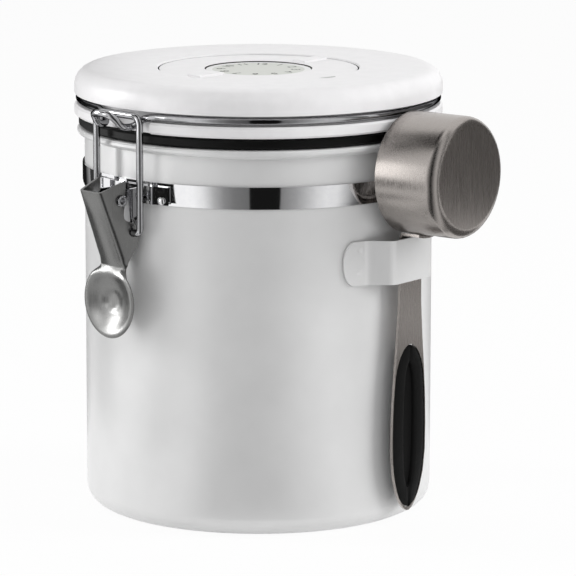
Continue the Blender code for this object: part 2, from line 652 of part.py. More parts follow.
def half_hook():
    """Half of the hook at the latch, from the groove to its tip, as local points."""
    bar, out, width = LINK_PIVOT.x, HOOK_REACH, HOOK_HALF_WIDTH
    dip = GROOVE_MIDDLE - HOOK_DIP
    rise = HOOK_DIP + HOOK_TIP_RISE
    root_x = math.sqrt(WIRE_RING_RADIUS**2 - HOOK_ROOT_HALF_WIDTH**2)
    leave_x = WIRE_RING_RADIUS - RING_WIRE_RADIUS / 2
    points = [Vector((root_x, HOOK_ROOT_HALF_WIDTH, GROOVE_MIDDLE))]
    points += [Vector((leave_x, width * 1.9, GROOVE_MIDDLE - HOOK_DIP * 0.13))]
    inner_shares = [(-0.34, 1.50, 0.50), (-0.14, 1.2, 0.13), (0.01, 1.06, 0.015), (0.17, 1.0, 0)]
    outer_shares = [(0.32, 0.97, 0.03), (0.46, 0.94, 0.12), (0.59, 0.91, 0.32), (0.73, 0.84, 0.6)]
    tip_shares = [(0.885, 0.68, 0.856), (0.975, 0.38, 0.98), (1, 0, 1)]
    for x, y, z in inner_shares + outer_shares + tip_shares:
        points.append(Vector((bar + out * x, width * y, dip + rise * z)))
    return points


def lid_wire(chrome):
    """The lid's wire: hinge eyes, legs, the ring in the groove and the hook, bent from one length."""
    hook = half_hook()
    whole_hook = smooth_path(hook + [Vector((p.x, -p.y, p.z)) for p in reversed(hook[:-1])], 2)
    to_latch = Matrix.Rotation(LATCH_DIRECTION, 4, "Z")
    hook_world = [to_latch @ point for point in whole_hook]
    side = hinge_side()
    to_hinge = Matrix.Rotation(HINGE_DIRECTION, 4, "Z")
    left = [to_hinge @ point for point in side]
    right = [to_hinge @ Vector((point.x, -point.y, point.z)) for point in reversed(side)]
    start = math.atan2(left[-1].y, left[-1].x)
    stop = math.atan2(hook_world[-1].y, hook_world[-1].x) + math.tau
    count = round((stop - start) / math.radians(6))
    ring = []
    for step in range(1, count):
        turn = start + (stop - start) * step / count
        place = (WIRE_RING_RADIUS * math.cos(turn), WIRE_RING_RADIUS * math.sin(turn), GROOVE_MIDDLE)
        ring.append(Vector(place))
    back = [Vector((-point.x, point.y, point.z)) for point in reversed(ring)]
    return wire("lid_wire", left + ring + hook_world[::-1] + back + right, RING_WIRE_RADIUS, chrome)


def hinge_side():
    """One end of the lid's wire, from the eye round the hinge pin up to the groove, as local points."""
    spacing = HINGE_LEG_HALF_SPACING
    eye = []
    steps = 14
    for step in range(steps + 1):
        turn = EYE_END_ANGLE + (math.pi - EYE_END_ANGLE) * step / steps
        x, z = HINGE_AXIS.x + EYE_RADIUS * math.cos(turn), HINGE_AXIS.z + EYE_RADIUS * math.sin(turn)
        eye.append(Vector((x, spacing, z)))
    leg_x = HINGE_AXIS.x - EYE_RADIUS
    corner = HINGE_WIRE_CORNER
    top = [Vector((leg_x, spacing, HINGE_AXIS.z + (GROOVE_MIDDLE - HINGE_AXIS.z) / 2))]
    ring_x = math.sqrt(WIRE_RING_RADIUS**2 - (spacing + 2 * corner) ** 2)
    for share in (0, 0.25, 0.5, 0.75, 1):
        turn = math.radians(90) * share
        x = leg_x - corner / 2 * (1 - math.cos(turn))
        z = GROOVE_MIDDLE - corner * (1 - math.sin(turn))
        top.append(Vector((x, spacing + corner * 0.6 * (1 - math.cos(turn)), z)))
    return eye + top + [Vector((ring_x, spacing + 2 * corner, GROOVE_MIDDLE))]


def valve_guard(white):
    """The perforated seat of the gas valve, pushed into the inner plate from below."""
    flange_top = PLATE_BOTTOM - GAP
    low, high = flange_top - VALVE_FLANGE_THICKNESS, flange_top + VALVE_NECK_LENGTH
    outer = VALVE_NECK_RADIUS + VALVE_FLANGE_WIDTH
    profile = [(0, low), (outer, low), (outer, flange_top), (VALVE_NECK_RADIUS, flange_top)]
    profile += [(VALVE_NECK_RADIUS, high), (0, high)]
    guard = new_piece("valve_guard", turned_mesh(profile, CUP_STEPS), white)
    holes = []
    for index in range(VALVE_HOLES):
        turn = Matrix.Rotation(math.tau * index / VALVE_HOLES, 4, "Z")
        place = turn @ Vector((VALVE_HOLE_CIRCLE, 0, 0))
        holes.append(rod_mesh(VALVE_HOLE_RADIUS, low - CUT_OVERRUN, high + CUT_OVERRUN, "Z", place))
    shape_by(guard, "DIFFERENCE", joined(holes), "gas_holes")
    return guard


def flap_bottom():
    """The height at which the valve's flap lies on its seat."""
    return PLATE_BOTTOM - GAP + VALVE_NECK_LENGTH + GAP


def valve_flap(rubber):
    """The soft disc that lies on the valve's seat and lifts when gas pushes."""
    low = flap_bottom()
    high = low + FLAP_THICKNESS
    profile = [(0, low), (FLAP_RADIUS, low), (FLAP_RADIUS, high), (0, high)]
    return new_piece("valve_flap", turned_mesh(profile, CUP_STEPS // 2), rubber)


def valve_cap(white):
    """The vented cap over the flap, which limits how far it lifts."""
    inner = VALVE_NECK_RADIUS + GAP
    low = PLATE_TOP + GAP
    ceiling = flap_bottom() + FLAP_THICKNESS + FLAP_TRAVEL + GAP
    high = ceiling + CAP_WALL
    profile = [(inner, low), (inner + CAP_WALL, low), (inner + CAP_WALL, high), (CAP_VENT_RADIUS, high)]
    profile += [(CAP_VENT_RADIUS, ceiling), (inner, ceiling)]
    return new_piece("valve_cap", turned_mesh(profile, CUP_STEPS // 2), white)


def date_ring(white):
    """The outer dial ring, with a ledge under the inner disc and two raised finger grips."""
    well = DISC_RADIUS + DIAL_CLEARANCE
    ledge_top = RING_BOTTOM + RING_LEDGE_THICKNESS
    profile = [(RING_LEDGE_RADIUS, RING_BOTTOM), (DIAL_RADIUS, RING_BOTTOM), (DIAL_RADIUS, RING_TOP)]
    profile += [(well, RING_TOP), (well, ledge_top), (RING_LEDGE_RADIUS, ledge_top)]
    ring = new_piece("date_ring", turned_mesh(profile, DIAL_STEPS), white)
    grips = []
    for direction in GRIP_DIRECTIONS:
        grip = bmesh.new()
        bmesh.ops.create_cube(grip, size=1)
        low, high = RING_TOP - GRIP_HEIGHT, RING_TOP + GRIP_HEIGHT
        size = (GRIP_OUTER_RADIUS - GRIP_INNER_RADIUS, GRIP_WIDTH, high - low)
        bmesh.ops.scale(grip, verts=grip.verts, vec=size)
        bmesh.ops.bevel(grip, geom=grip.edges[:], offset=GRIP_EDGE, segments=1, affect="EDGES")
        middle = (GRIP_INNER_RADIUS + GRIP_OUTER_RADIUS) / 2
        bmesh.ops.translate(grip, verts=grip.verts, vec=(middle, 0, (low + high) / 2))
        grip.transform(Matrix.Rotation(direction, 4, "Z"))
        grips.append(grip)
    shape_by(ring, "UNION", joined(grips), "grips")
    return ring


def month_disc(white):
    """The inner dial disc with its hollow axle."""
    bore_top = DISC_TOP - DISC_THICKNESS / 2
    profile = [(0, DISC_TOP), (0, bore_top), (AXLE_BORE_RADIUS, bore_top), (AXLE_BORE_RADIUS, AXLE_BOTTOM)]
    profile += [(AXLE_RADIUS, AXLE_BOTTOM), (AXLE_RADIUS, DISC_BOTTOM), (DISC_RADIUS, DISC_BOTTOM)]
    profile += [(DISC_RADIUS, DISC_TOP)]
    return new_piece("month_disc", turned_mesh(profile, DIAL_STEPS), white)


def dial_screw(steel):
    """The screw in the disc's axle, whose head keeps both dial pieces on the cover."""
    bm = screw_mesh(
        DIAL_SCREW_HEAD_RADIUS,
        DIAL_SCREW_HEAD_HEIGHT,
        AXLE_BORE_RADIUS - GAP,
        DIAL_SCREW_LENGTH,
        AXLE_BOTTOM,
    )
    return new_piece("dial_screw", bm, steel)


def strap_front(height):
    """How far out the lever's strap stands at a height."""
    top = LEVER_PIVOT + Vector((LEVER_TOP_OUT, 0, LEVER_TOP_RISE))
    neck = Vector((tab_plane() - LEVER_NECK_IN, 0, LEVER_PIVOT.z - LEVER_NECK_DROP))
    return neck.x + (top.x - neck.x) * (height - neck.z) / (top.z - neck.z)


def tab_plane():
    """How far out the lever's round tab stands."""
    return LEVER_PIVOT.x - GAP


def lever_rows():
    """The lever's sheet as rows of nine points: flank, strap and flank, running into the round tab."""
    top = LEVER_PIVOT.z + LEVER_TOP_RISE
    neck = LEVER_PIVOT.z - LEVER_NECK_DROP
    drop = LEVER_TOP_RISE + LEVER_NECK_DROP
    pivot, link = LEVER_PIVOT, LINK_PIVOT
    pin, bend = PIN_RADIUS, LINK_WIRE_RADIUS
    flare, wing = LEVER_FLARE, LEVER_WING_FLARE
    back_edge = [
        (0, pivot.x - pin * 1.2, top + pin * 2.3, flare),
        (0.14, pivot.x - pin * 1.1, pivot.z, flare),
        (0.30, pivot.x - pin * 0.95, link.z + bend * 4.2, flare),
        (0.44, link.x - bend * 0.6, link.z + bend * 2.3, (flare + wing) / 2),
        (0.58, link.x - bend * 1.75, link.z - bend * 0.2, wing),
        (0.70, link.x - bend * 1.67, link.z - bend * 2.8, wing),
        (0.85, link.x - bend * 0.4, link.z - bend * 6, wing),
        (0.95, link.x + bend * 0.9, link.z - bend * 8.6, (flare + wing) / 2),
    ]
    rows = []
    for share, back_x, back_z, spread in back_edge:
        height = top - drop * share
        front = strap_front(height)
        half = LEVER_STRAP_TOP_HALF_WIDTH + share * (LEVER_STRAP_NECK_HALF_WIDTH - LEVER_STRAP_TOP_HALF_WIDTH)
        back_half = half + spread * (front - back_x)
        middle = ((front + back_x) / 2, (half + back_half) / 2, (height + back_z) / 2)
        rows.append(mirrored_row([(back_x, back_half, back_z), middle, (front, half, height)]))
    half = LEVER_STRAP_NECK_HALF_WIDTH
    front = strap_front(neck)
    edge = (front - LEVER_THICKNESS, half * 1.1, neck)
    rows.append(mirrored_row([edge, (front - LEVER_THICKNESS / 2, half * 1.06, neck), (front, half, neck)]))
    middle = neck - TAB_RADIUS
    for share in (0.88, 0.74, 0.5, 0.25, 0, -0.25, -0.5, -0.72, -0.88, -0.98):
        rows.append(tab_row(middle, share))
    return rows


def mirrored_row(side):
    """Nine points across the lever from three on one side: back edge, middle of the flank and fold."""
    back, middle, fold = side
    inner = [(fold[0], fold[1] / 2, fold[2]), (fold[0], 0, fold[2])]
    left = [Vector((x, -y, z)) for x, y, z in (back, middle, fold, inner[0])]
    right = [Vector(point) for point in (inner[1], inner[0], fold, middle, back)]
    return left + right


def tab_row(middle, share):
    """Nine points across the round tab at a share of its radius above the tab's middle."""
    half = TAB_RADIUS * math.sqrt(1 - share**2)
    row = []
    for column in range(9):
        across = half * (column / 4 - 1)
        along = TAB_RADIUS * share
        radius = math.hypot(across, along)
        if share > 0.8:
            out = -LEVER_NECK_IN / 2
        elif radius < TAB_DISH_RADIUS:
            out = -TAB_DISH_DEPTH * (1 - (radius / TAB_DISH_RADIUS) ** 2) ** 1.5
        else:
            out = TAB_RIM_OUT * (radius - TAB_DISH_RADIUS) / (TAB_RADIUS - TAB_DISH_RADIUS)
        row.append(Vector((tab_plane() + out, across, middle + along)))
    return row


def latch_lever(steel):
    """The pressed lever: a U-shaped strap that runs into a dished round tab."""
    lever = sheet("latch_lever", lever_rows(), LEVER_THICKNESS, steel, LATCH_DIRECTION)
    reach = LINK_HALF_WIDTH
    pin = rod_mesh(PIN_RADIUS + GAP, -reach, reach, "Y", LEVER_PIVOT)
    ends = rod_mesh(LINK_WIRE_RADIUS + GAP, -reach, reach, "Y", LINK_PIVOT)
    shape_by(lever, "DIFFERENCE", joined([pin, ends]), "pivot_holes", LATCH_DIRECTION)
    return lever


def latch_link(chrome):
    """The wire loop from the lever to the lid's hook, with its two ends turned into the lever."""
    x, half, corner = LINK_PIVOT.x, LINK_HALF_WIDTH, LINK_CORNER_RADIUS
    low, high = LINK_PIVOT.z, GROOVE_MIDDLE
    bend = LINK_WIRE_RADIUS * 1.6
    tip = half - LINK_TIP_IN
    side = [Vector((x, tip, low)), Vector((x, half - bend, low))]
    for turn in (22.5, 45, 67.5, 90):
        angle = math.radians(turn)
        across, along = bend * (1 - math.sin(angle)), bend * (1 - math.cos(angle))
        side.append(Vector((x, half - across, low + along)))
    side.append(Vector((x, half, (low + high) / 2)))
    for turn in (0, 18, 36, 54, 72, 90):
        angle = math.radians(turn)
        across, along = corner * (1 - math.cos(angle)), corner * (1 - math.sin(angle))
        side.append(Vector((x, half - across, high - along)))
    other = [Vector((p.x, -p.y, p.z)) for p in reversed(side)]
    return wire("latch_link", side + other, LINK_WIRE_RADIUS, chrome, LATCH_DIRECTION)


def scoop_cup(brushed):
    """The scoop's cup, which lies on its side with its mouth against the can's wall."""
    depth = CUP_DEPTH
    fillet = CUP_FILLET
    profile = [(0, depth)] + arc(CUP_RADIUS - fillet, depth - fillet, fillet, 90, 0)
    profile += [(CUP_RADIUS, 0), (CUP_RADIUS - CUP_WALL, 0)]
    profile += arc(CUP_RADIUS - fillet, depth - fillet, fillet - CUP_WALL, 0, 90)
    profile += [(0, depth - CUP_WALL)]
    bm = turned_mesh(profile, CUP_STEPS)
    bm.transform(Matrix.Rotation(math.radians(90), 4, "Y"))
    bmesh.ops.translate(bm, verts=bm.verts, vec=(CUP_RIM, 0, CUP_HEIGHT))
    return new_piece("scoop_cup", bm, brushed, SCOOP_DIRECTION)


def handle_half_width(height):
    """Half the handle's width at a height: straight at the holder, widest low down, round at the tip."""
    length = HOLDER_TOP - HANDLE_TIP_HEIGHT
    share = (HOLDER_TOP - height) / length
    spread = (share - HANDLE_NARROW_SHARE) / (HANDLE_WIDE_SHARE - HANDLE_NARROW_SHARE)
    spread = min(max(spread, 0), 1)
    ease = spread * spread * (3 - 2 * spread)
    half = HANDLE_TOP_HALF_WIDTH + (HANDLE_WIDE_HALF_WIDTH - HANDLE_TOP_HALF_WIDTH) * ease
    above_tip = (height - HANDLE_TIP_HEIGHT) / HANDLE_TIP_LENGTH
    if above_tip < 1:
        half *= max(1 - (1 - above_tip) ** 2.2, 0) ** 0.6
    return half


def end_round(distance, length):
    """How much of the full width is left at a distance from a round end: from 0 at the end to 1."""
    missing = 1 - min(max(distance / length, 0), 1)
    return math.sqrt(max(1 - missing**2, 0))


def oval_outline(top, bottom, inset):
    """The oval window's outline as (across, height) points, running round from the top."""
    count = 18
    middle, reach = (top + bottom) / 2, (top - bottom) / 2
    side = []
    for step in range(1, count):
        height = middle + reach * math.cos(math.pi * step / count)
        half = (handle_half_width(height) - inset) * end_round(top - height, INSERT_TOP_ROUND)
        side.append((half * end_round(height - bottom, INSERT_BOTTOM_ROUND), height))
    return [(0, top), *side, (0, bottom), *[(-across, height) for across, height in reversed(side)]]


def insert_span():
    """The heights between which the soft insert lies."""
    top = HOLDER_TOP - INSERT_TOP_SHARE * (HOLDER_TOP - HANDLE_TIP_HEIGHT)
    return top, HANDLE_TIP_HEIGHT + GRIP_RIM * 3


def leaned(height):
    """How far the handle has leaned in towards the can at a height under the holder's top."""
    return max(HOLDER_TOP - height, 0) * HANDLE_LEAN


def turned_to_wall(bm):
    """Turns a plate drawn in X and Z so that it faces away from the can and leans as the handle does."""
    bm.transform(Matrix.Rotation(math.radians(90), 4, "Z"))
    for point in bm.verts:
        point.co.x -= leaned(point.co.z)
    return bm


def scoop_handle(brushed):
    """The scoop's handle: a strip that runs down from under the cup and widens to an oval frame."""
    bend = HANDLE_BEND_RADIUS
    cup_seat = CUP_RADIUS + GAP + HANDLE_THICKNESS / 2
    rows = []
    for out in (TONGUE_LENGTH, TONGUE_LENGTH / 2, bend):
        row = []
        for share in (-1, -0.5, 0, 0.5, 1):
            across = share * HANDLE_TOP_HALF_WIDTH
            height = CUP_HEIGHT - math.sqrt(cup_seat**2 - across**2)
            row.append(Vector((HANDLE_PLANE + out, across, height)))
        rows.append(row)
    for turn in (30, 60, 90):
        angle = math.radians(turn)
        x, z = HANDLE_PLANE + bend * (1 - math.sin(angle)), TONGUE_HEIGHT - bend * (1 - math.cos(angle))
        rows.append(flat_row(x, z, HANDLE_TOP_HALF_WIDTH))
    start = TONGUE_HEIGHT - bend
    for share in (0.12, 0.24, 0.36, 0.48, 0.6, 0.7, 0.79, 0.87, 0.93, 0.97, 0.99, 0.999):
        height = start + (HANDLE_TIP_HEIGHT - start) * share
        rows.append(flat_row(HANDLE_PLANE, height, handle_half_width(height)))
    handle = sheet("scoop_handle", rows, HANDLE_THICKNESS, brushed, SCOOP_DIRECTION)
    top, bottom = insert_span()
    window = plate_mesh(oval_outline(top, bottom, GRIP_RIM), HANDLE_THICKNESS + 2 * CUT_OVERRUN, -HANDLE_PLANE)
    shape_by(handle, "DIFFERENCE", turned_to_wall(window), "window", SCOOP_DIRECTION)
    return handle


def flat_row(x, height, half):
    """Five points straight across the handle."""
    return [Vector((x - leaned(height), share * half, height)) for share in (-1, -0.5, 0, 0.5, 1)]


def scoop_grip(rubber):
    """The soft insert in the handle's oval window, with a long groove in its outer face."""
    top, bottom = insert_span()
    outer_face = HANDLE_PLANE + HANDLE_THICKNESS / 2
    middle = outer_face - INSERT_THICKNESS / 2
    body = plate_mesh(oval_outline(top - GAP, bottom + GAP, GRIP_RIM + GAP), INSERT_THICKNESS, -middle)
    grip = new_piece("scoop_grip", turned_to_wall(body), rubber, SCOOP_DIRECTION)
    half = INSERT_GROOVE_HALF_WIDTH
    length = top - bottom
    high, low = top - length * 0.3, bottom + length * 0.22
    outline = [(half * 0.7, high), (half, high - half), (half, low + half), (half * 0.6, low)]
    outline += [(-x, z) for x, z in reversed(outline)]
    depth = 2 * INSERT_GROOVE_DEPTH
    groove = plate_mesh(outline, depth, -outer_face)
    shape_by(grip, "DIFFERENCE", turned_to_wall(groove), "groove", SCOOP_DIRECTION)
    return grip


def axis_point(name, place, direction=0.0):
    """An empty on a joint's axis, which carries the pieces that turn or slide there."""
    empty = bpy.data.objects.new(name, None)
    empty.empty_display_size = BODY_WALL
    empty.location = Matrix.Rotation(direction, 4, "Z") @ Vector(place)
    bpy.context.scene.collection.objects.link(empty)
    return empty


def carry(empty, *pieces):
    """Parents pieces to an empty and leaves them where they are."""
    for piece in pieces:
        piece.parent = empty
        piece.matrix_parent_inverse = Matrix.Translation(empty.location).inverted()


def build():
    """Builds the canister."""
    for old in list(bpy.data.objects):
        bpy.data.objects.remove(old, do_unlink=True)
    white = finish("white_powder_coat", (0.80, 0.80, 0.80), 0.42)
    plastic = finish("white_abs", (0.83, 0.83, 0.82), 0.32)
    chrome = finish("chromed_wire", (0.72, 0.72, 0.74), 0.12, 1.0)
    polished = finish("polished_steel", (0.68, 0.68, 0.69), 0.14, 1.0)
    pressed = finish("pressed_steel", (0.55, 0.55, 0.56), 0.28, 1.0)
    brushed = finish("brushed_steel", (0.45, 0.43, 0.41), 0.34, 1.0)
    rubber = finish("black_silicone", (0.02, 0.02, 0.02), 0.55)

    can_body(white)
    neck_band(polished)
    bracket(
        "latch_bracket",
        LATCH_DIRECTION,
        LEVER_PIVOT,
        LATCH_EAR_OUTER,
        LATCH_TONGUE_DROP,
        LATCH_EAR_TOP,
        LATCH_EAR_BOTTOM,
        polished,
    )
    rivet("latch_rivet_left", LATCH_DIRECTION, -1, polished)
    rivet("latch_rivet_right", LATCH_DIRECTION, 1, polished)
    flank = LEVER_STRAP_TOP_HALF_WIDTH + LEVER_FLARE * (strap_front(LEVER_PIVOT.z) - LEVER_PIVOT.x)
    head = LATCH_PIN_HEAD_RADIUS
    flank_outer = flank + LEVER_THICKNESS / 2 + LEVER_FLARE * head
    headed_pin("latch_pivot_pin", LEVER_PIVOT, flank_outer + GAP, head, LATCH_DIRECTION, polished)
    bracket(
        "hinge_bracket",
        HINGE_DIRECTION,
        HINGE_AXIS,
        HINGE_EAR_OUTER,
        HINGE_TONGUE_DROP,
        EAR_MARGIN,
        HINGE_EAR_BOTTOM,
        polished,
    )
    rivet("hinge_rivet_left", HINGE_DIRECTION, 1, polished)
    rivet("hinge_rivet_right", HINGE_DIRECTION, -1, polished)
    eye_end = HINGE_LEG_HALF_SPACING + RING_WIRE_RADIUS + GAP
    headed_pin("hinge_pin", HINGE_AXIS, eye_end, HINGE_PIN_HEAD_RADIUS, HINGE_DIRECTION, polished)
    scoop_holder(white)

    lid_pieces = [
        lid_cover(plastic),
        lid_base(plastic),
        lid_inner_plate(plastic),
        *lid_screws(pressed),
        lid_seal(rubber),
        lid_wire(chrome),
        valve_guard(plastic),
        valve_cap(plastic),
    ]
    carry(axis_point("lid_hinge_axis", HINGE_AXIS, HINGE_DIRECTION), *lid_pieces)
    carry(axis_point("valve_axis", (0, 0, flap_bottom())), valve_flap(rubber))
    carry(axis_point("date_ring_axis", (0, 0, RING_BOTTOM)), date_ring(plastic))
    carry(axis_point("month_disc_axis", (0, 0, DISC_BOTTOM)), month_disc(plastic), dial_screw(pressed))
    carry(axis_point("latch_lever_axis", LEVER_PIVOT, LATCH_DIRECTION), latch_lever(pressed))
    carry(axis_point("latch_link_axis", LINK_PIVOT, LATCH_DIRECTION), latch_link(chrome))
    scoop = [scoop_cup(brushed), scoop_handle(brushed), scoop_grip(rubber)]
    carry(axis_point("scoop_axis", (HANDLE_PLANE, 0, TONGUE_HEIGHT), SCOOP_DIRECTION), *scoop)


build()
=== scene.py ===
"""The coffee canister's looks: finishes, dial print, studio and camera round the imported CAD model.

All lengths are in metres unless a line says otherwise. The can stands on z = 0 with its axis on the
world's Z axis, its clamp towards -Y, its hinge towards +Y and its scoop near +X.
"""

import math

import bmesh
import bpy
from mathutils import Matrix, Vector


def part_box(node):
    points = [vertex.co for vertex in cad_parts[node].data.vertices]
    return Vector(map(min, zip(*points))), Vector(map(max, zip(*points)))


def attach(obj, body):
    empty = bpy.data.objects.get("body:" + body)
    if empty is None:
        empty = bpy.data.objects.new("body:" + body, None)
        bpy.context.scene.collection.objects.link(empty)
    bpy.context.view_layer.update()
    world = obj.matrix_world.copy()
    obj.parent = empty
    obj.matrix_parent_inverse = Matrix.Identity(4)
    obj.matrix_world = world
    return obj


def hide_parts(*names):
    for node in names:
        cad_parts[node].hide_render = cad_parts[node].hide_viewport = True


MM = 0.001

# Camera, fitted to the photograph
IMAGE_SIDE = 576
CAMERA_AZIMUTH = math.radians(-43)
CAMERA_PITCH = math.radians(10.84)
CAMERA_DISTANCE = 1.410
CAMERA_AIM = Vector((0, 0, 75.45 * MM))
FOCAL_PIXELS = 3986
SHIFT_PIXELS = 29.525
SENSOR_WIDTH_MM = 36
NEAREST_SEEN, FARTHEST_SEEN = 0.05, 60

# Directions from the can's axis, as the CAD has them
LATCH_AZIMUTH = math.radians(-90)
HINGE_AZIMUTH = math.radians(90)
SCOOP_AZIMUTH = math.radians(9)
HOLDER_AZIMUTH = math.radians(8.5)

# Shading of the carried-over CAD pieces: their split corners are joined, and sharper creases stay hard
WELD_DISTANCE = 0.001 * MM
CREASE_ANGLE = math.radians(33)
# Rounded edges: the steps in which each turns, the bluntest that is rounded, and the handle's radius
EDGE_SEGMENTS = 3
EDGE_ANGLE = math.radians(50)
HANDLE_EDGE = 0.3 * MM

# Month print on the dial's disc
MONTHS = 12
MONTH_RADIUS = 12.9 * MM
MONTH_SIZE = 4.7 * MM
MONTH_BOLDNESS = 0.03 * MM
MONTH_TOP_AZIMUTH = math.radians(132)
PRINT_LIFT = 0.03 * MM

# From here to the next line of dashes, shapes are drawn in millimetres: out from the can's axis, across
# and up from the floor

WALL_RADIUS = 61
# Points of one piece that lie closer than this are joined
JOINED_WITHIN = 0.001

# Lever's channel: its open top, its neck and its pivot, and the rows drawn in each span of its edge
LEVER_THICKNESS, LEVER_EDGE = 0.9, 0.22
LEVER_TOP_OUT, LEVER_TOP_UP, LEVER_TOP_HALF = 78.1, 118.8, 4.9
LEVER_NECK_OUT, LEVER_NECK_UP, LEVER_NECK_HALF = 67.9, 92.4, 5.7
LEVER_PIVOT_OUT, LEVER_PIVOT_UP = 69.8, 115.5
LEVER_SPAN_ROWS = 4
# How far each fold reaches, and the most of a narrow flange's depth that it takes
LEVER_FOLD, LEVER_FOLD_SHARE = 1.3, 0.45
# How far the front bulges, and the share of the channel's length from the mouth over which that starts
LEVER_CROWN, LEVER_CROWN_SHARE = 0.7, 0.3
# The flanges' back edge, as share of the channel's length, out, up and flare
LEVER_BACK_EDGE = [
    (0, 68.0, 122.25, 0.17),
    (0.14, 68.15, 115.5, 0.17),
    (0.30, 68.4, 109.2, 0.17),
    (0.44, 64.6, 107.0, 0.215),
    (0.58, 63.2, 104.0, 0.26),
    (0.70, 63.3, 100.8, 0.26),
    (0.85, 64.8, 97.0, 0.26),
    (0.95, 66.4, 93.9, 0.215),
    (1.0, 67.0, 92.4, 0.633),
]

# Lever's tab: the hollow curves that lead from the neck to it, the leaning strap between them, and how far
# above the neck and over what length the channel settles into the tab
NECK_ARC_RADIUS = 2.5
NECK_ARC_ACROSS, NECK_ARC_UP, NECK_ARC_LOW = 8.2, 92.46, 90.37
STRAP_LEAN, STRAP_ROWS, STRAP_PITCH = 0.3, 4, 0.4
SETTLE_ABOVE, SETTLE_LENGTH = 0.6, 4.6
TAB_RADIUS, TAB_PLANE, TAB_UP = 12.5, 69.5, 79.9
TAB_ROWS, TAB_LAST_ANGLE = 40, math.radians(177.5)
# The tab's dish, as distance from its middle and out from its plane
DISH_SPAN_STEPS = 5
TAB_PROFILE = [
    (0, -2.3),
    (3.0, -2.3),
    (3.5, -2.2),
    (4.2, -1.65),
    (5.5, -1.5),
    (8.0, -0.9),
    (10.3, 0),
    (11.2, 0.25),
    (12.0, 0.3),
    (12.6, 0),
]

# Pivot rivet: half its outline, from the bore's floor over the rolled head, as radius and across
RIVET_STEPS = 32
RIVET_OUTLINE = [
    (0, 5.2),
    (0.95, 5.2),
    (0.95, 7.35),
    (1.1, 7.6),
    (1.5, 7.68),
    (1.85, 7.6),
    (2.0, 7.4),
    (1.95, 7.2),
    (1.5, 7.18),
]

# Wires, and the loop: its ends' pivot, how far they turn in, its lower bend, its legs and upper corner
WIRE_RADIUS, WIRE_SMOOTHNESS = 1.2, 7
LINK_OUT, LINK_UP, LINK_HALF = 65.3, 104.2, 11.1
LINK_END, LINK_BEND, LINK_CORNER = 5.2, 1.9, 3.1
LINK_LEG_RISES = (2.4, 15, 30)
# The lever's holes for the pivot and for the loop's ends, as out, up and radius
LEVER_HOLES = [(LEVER_PIVOT_OUT, LEVER_PIVOT_UP, 1.8), (LINK_OUT, LINK_UP, 1.5)]
HOLE_STEPS, HOLE_DEPTH = 32, 30

# Lid's wire: the ring in the groove, and the hook that leaves it, dips and rises to its tip
GROOVE_UP, RING_RADIUS, RING_STEP = 144.175, 62.8, math.radians(2.5)
HOOK_REACH, HOOK_HALF, HOOK_DIP, HOOK_RISE = 7.8, 6.3, 3.8, 4.8
HOOK_ROOT_HALF, HOOK_SPAN_STEPS = 15, 7
HOOK_LEAVES = (RING_RADIUS - 0.6, HOOK_HALF * 1.9, GROOVE_UP - 0.5)
# The hook's path, as shares of its reach, its half width and its rise from the dip
HOOK_SHARES = [
    (-0.34, 1.50, 0.50),
    (-0.14, 1.2, 0.13),
    (0.01, 1.06, 0.015),
    (0.17, 1.0, 0),
    (0.32, 0.97, 0.03),
    (0.46, 0.94, 0.12),
    (0.59, 0.91, 0.32),
    (0.73, 0.84, 0.6),
    (0.885, 0.68, 0.856),
    (0.975, 0.38, 0.98),
    (1, 0, 1),
]
# Its two eyes on the hinge's pin, and the legs that rise from them and lean over into the groove
HINGE_OUT, HINGE_UP = 69.3, 118.0
EYE_RADIUS, EYE_ACROSS = 3.0, 10.0
EYE_STEPS, EYE_END = 32, math.radians(440)
LEG_RISES = (6, 13, 20)
LEG_BEND_IN, LEG_BEND_ACROSS, LEG_BEND_UP, LEG_BEND_STEPS = 1.5, 1.8, 3, 8
LEG_JOINS_ACROSS = 16

# Holder: its middle, its half height, and its near half as out and across, down to the wall
HOLDER_MIDDLE, HOLDER_HALF = 93.7, 7.6
HOLDER_THICKNESS, HOLDER_EDGE = 0.9, 0.2
HOLDER_SPAN_STEPS, HOLDER_HALF_ROWS = 4, 16
HOLDER_PROFILE = [
    (67.4, 0),
    (67.4, 4.5),
    (67.4, 9.0),
    (67.22, 10.2),
    (66.35, 11.25),
    (65.1, 12.2),
    (63.5, 13.3),
    (61.7, 14.5),
    (60.3, 15.7),
    (59.5, 16.9),
    (59.2, 17.75),
]
# Its foot, by arc along the wall: where it starts and ends and how long its round end is. The last step
# stops just short of the end, where the strip has no height left
FOOT_RADIUS = 61.75
FOOT_START, FOOT_END, FOOT_ROUND = 17.6, 25.3, 4.4
FOOT_STEPS, FOOT_WHOLE = 16, 16.2
# Spot welds, as arc along the wall and up from the holder's middle
WELDS = [(19.1, 4.6), (19.4, -3.1)]
WELD_DENT, WELD_RADIUS = 0.42, 0.75

# Handle: its ends, its front face and that face's lean
HANDLE_TOP, HANDLE_TIP = 101.3, 4.7
HANDLE_FACE, HANDLE_LEAN = 66.55, 0.0075
# Its half width at the top and how much it widens, from a share of its length on and over a share of it
HANDLE_HALF, HANDLE_SWELL = 6.0, 3.7
SWELL_START, SWELL_LENGTH = 0.16, 0.54
# Its rounded lower end
TIP_LENGTH, TIP_TAPER, TIP_BLUNTNESS = 24, 2.2, 0.6

# Grip: its ends, the steel rim left round it, the lengths of its round ends, and its depth
GRIP_LOW, GRIP_HIGH, GRIP_RIM = 6.2, 63.3, 0.72
GRIP_TOP_ROUND, GRIP_TIP_ROUND = 12, 3
GRIP_DEPTH, GRIP_ROWS, GRIP_STOPS_SHORT = 1.35, 90, 0.02
